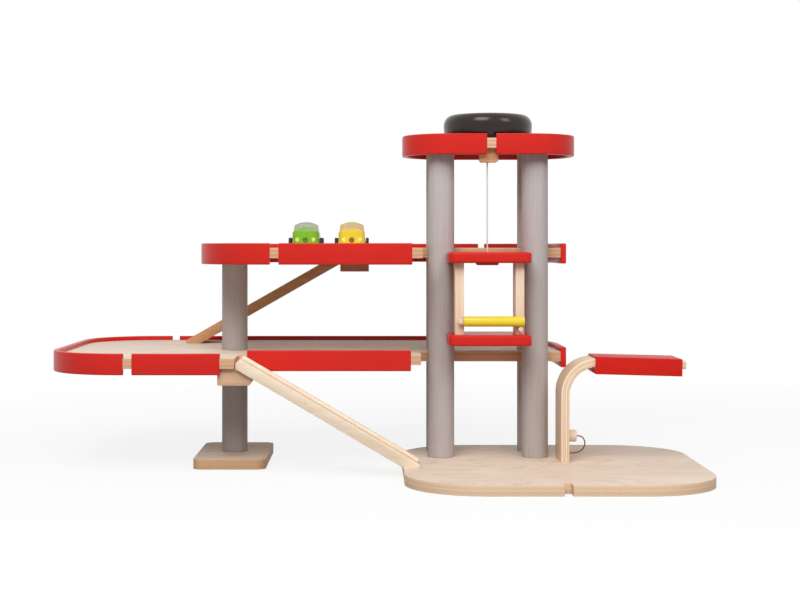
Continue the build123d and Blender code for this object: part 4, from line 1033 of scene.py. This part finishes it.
def make_car_cabin(name, x, low, high):
    """Window dome that goes on from the body's sides, raked in front and behind and arched on top."""
    front, rear = low.y - CABIN_PAST_FRONT, high.y + CABIN_PAST_REAR
    cabin = block(name, (x - CABIN_HALF_W, front, low.z - CABIN_FOOT), (x + CABIN_HALF_W, rear, high.z))
    reopen(cabin)
    choose(cabin, "VERT", lambda spot, vert: spot.z > high.z - 1)
    bpy.ops.transform.resize(value=(CABIN_TOP_SHARE, 1, 1), center_override=Vector((x, 0, high.z)) * MM)
    for shift, y in ((CABIN_RAKE_FRONT, front), (CABIN_RAKE_REAR, rear)):
        choose(cabin, "VERT", lambda spot, vert: spot.z > high.z - 1 and abs(spot.y - y) < 0.1)
        bpy.ops.transform.translate(value=(0, shift * MM, 0))
    end()
    arch_over(cabin, x, high.z, CABIN_ARCH_R)
    round_edges(cabin, CABIN_EDGE_R, segments=6, angle=28)
    return cabin


def make_car(colour, x_shift, models):
    """One car from the first car's forms, or the first car itself."""
    car, name = colour + "_car", "car_" + colour
    paint, window = car_paints[colour], car_windows[colour]
    pieces = {part: moved(form, name + "_" + part, (x_shift, 0, 0)) for part, form in models.items()}
    finish(pieces["body"], car, paint, [name + "_body"], smooth=40)
    finish(pieces["cabin"], car, window, [name + "_cabin"], smooth=50)
    finish(pieces["lamps"], car, car_lamps[colour], ())
    finish(pieces["grille"], car, car_grilles[colour], ())
    for end_ in ("front", "rear"):
        wheels = pieces["wheels_" + end_]
        finish(wheels, f"{colour}_{end_}_wheels", rubber, [f"{name}_wheels_{end_}"])
    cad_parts[name + "_axles"].data.materials.clear()
    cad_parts[name + "_axles"].data.materials.append(steel)


def car_models():
    """The forms of the green car, which both cars are copied from."""
    low, high = span("car_green_body")
    cabin_low, cabin_high = span("car_green_cabin")
    x = (low.x + high.x) / 2
    models = {"body": make_car_body("car_body_form", low, high),
              "cabin": make_car_cabin("car_cabin_form", x, cabin_low, cabin_high)}
    lens = [(2.5, 0), (2.5, 0.8), (2.2, 1.05), (1.9, 1.05), (1.7, 0.85), (1.1, 1.1), (0.3, 1.2)]
    lamps = [turned(f"lamp_{side}", lens, (x + side * LAMP_OUT, low.y + LAMP_SUNK, low.z + LAMP_UP),
                    lean=TO_FRONT, steps=32) for side in (-1, 1)]
    models["lamps"] = join("car_lamps_form", lamps)
    rim = [(3.3, 0), (3.3, 0.9), (3.0, 1.15), (2.7, 1.15), (2.5, 0.8), (0.4, 0.8)]
    models["grille"] = turned("car_grille_form", rim, (x, low.y + GRILLE_SUNK, low.z + GRILLE_UP),
                              lean=TO_FRONT, steps=32)
    for end_ in ("front", "rear"):
        wheel_low, wheel_high = span("car_green_wheels_" + end_)
        wide = WHEEL_W
        tread = [(1.4, 0), (4.9, 0), (5.6, 0.3), (6.0, 0.9), (6.0, wide - 0.9), (5.6, wide - 0.3),
                 (4.9, wide), (3.9, wide), (3.6, wide - 0.35), (1.4, wide - 0.35)]
        centre = (wheel_low + wheel_high) / 2
        right = turned("wheel_right", tread, (wheel_high.x - wide, centre.y, centre.z),
                       lean=TO_RIGHT, steps=48)
        left = turned("wheel_left", tread, (wheel_low.x + wide, centre.y, centre.z),
                      lean=(0, math.radians(-90), 0), steps=48)
        models["wheels_" + end_] = join("car_wheels_form", [right, left])
    return models


forms = car_models()
make_car("green", 0.0, forms)
make_car("yellow", CAR_PITCH, forms)
for form in forms.values():
    bpy.data.objects.remove(form)

# ------------------------------ hidden CAD nodes that keep their shape
for node, material in (("column_dowels", tan_and_shade_x), ("cord_drum", tan_and_shade_x), ("cord_winding", cord_white),
                       ("knob_spindle", tan_and_shade_x), ("lift_cord_run", cord_white)):
    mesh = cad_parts[node].data
    mesh.materials.clear()
    mesh.materials.append(material)


# ------------------------------ stage and light
FLOOR_TONE, FLOOR_SEEN = (0.42, 0.4, 0.39, 1), (0.95, 0.95, 0.95, 1)
FLOOR_DROP, FLOOR_SIZE, WHITE_NEAR, WHITE_FROM_M, WHITE_OVER_M = 0.2, 30000, 0.86, 0.7, 0.7
ROOM_LIGHT, WHITE_LIGHT = 0.29, 1.0


def shows_background(tree, rays):
    """1 on a ray from the camera, or one that a glossy or a clear surface sends on."""
    kinds = ("Is Camera Ray", "Is Glossy Ray", "Is Transmission Ray")
    return sum((Wire(tree, rays[kind]) for kind in kinds), 0.0).clamp()


def make_stage():
    """White floor for the camera, grey for the light that bounces, with the object's soft shadow."""
    f = Finish("floor_white")
    x, y, _ = f.place()
    far = (((x * x + y * y).root() - WHITE_FROM_M) / WHITE_OVER_M).clamp()
    path = f.node("ShaderNodeLightPath")
    seen = shows_background(f.tree, path.socket.node.outputs)
    matt = f.node("ShaderNodeBsdfDiffuse", values={"Color": f.mix(seen, FLOOR_TONE, FLOOR_SEEN)})
    white = f.node("ShaderNodeEmission", values={"Color": (1, 1, 1, 1), "Strength": WHITE_LIGHT})
    share = seen * (WHITE_NEAR + far * (1 - WHITE_NEAR))
    f.close(f.node("ShaderNodeMixShader", values={0: share, 1: matt, 2: white}))
    floor = begin("floor", bpy.ops.mesh.primitive_plane_add, at=(0, 0, -FLOOR_DROP), size=FLOOR_SIZE)
    end()
    floor.data.materials.append(f.material)


def make_world():
    """White where it is seen, dimmer where it lights."""
    world = bpy.data.worlds.new("studio")
    bpy.context.scene.world = world
    world.use_nodes = True
    tree = world.node_tree
    tree.nodes.clear()
    seen = shows_background(tree, tree.nodes.new("ShaderNodeLightPath").outputs)
    room, white = (tree.nodes.new("ShaderNodeBackground") for _ in range(2))
    room.inputs[1].default_value = ROOM_LIGHT
    white.inputs[1].default_value = WHITE_LIGHT
    for background in (room, white):
        background.inputs[0].default_value = (1, 1, 1, 1)
    mixed = tree.nodes.new("ShaderNodeMixShader")
    plug(tree, mixed.inputs[0], seen)
    tree.links.new(room.outputs[0], mixed.inputs[1])
    tree.links.new(white.outputs[0], mixed.inputs[2])
    output = tree.nodes.new("ShaderNodeOutputWorld")
    tree.links.new(mixed.outputs[0], output.inputs[0])


def lamp(name, place, aim, size, power, mirrored=True):
    """A rectangular light aimed at a point; one that isn't mirrored stays out of gloss."""
    light = bpy.data.lights.new(name, "AREA")
    light.shape = "RECTANGLE"
    light.size, light.size_y = size
    light.energy = power
    holder = bpy.data.objects.new(name, light)
    holder.location = place
    holder.visible_glossy = mirrored
    holder.rotation_euler = (Vector(aim) - Vector(place)).to_track_quat("-Z", "Y").to_euler()
    show(holder)


make_stage()
make_world()
lamp("key", (-0.8, -1.6, 2.3), (-0.2, 0.1, 0.2), (1.3, 1.3), 30)
lamp("side", (1.6, -1.5, 1.9), (-0.1, 0.1, 0.2), (0.9, 1.1), 13)
lamp("front", (-0.3, -2.7, 1.9), (-0.2, 0.1, 0.2), (2.4, 1.0), 46, mirrored=False)

bpy.context.scene.view_settings.view_transform = "Standard"
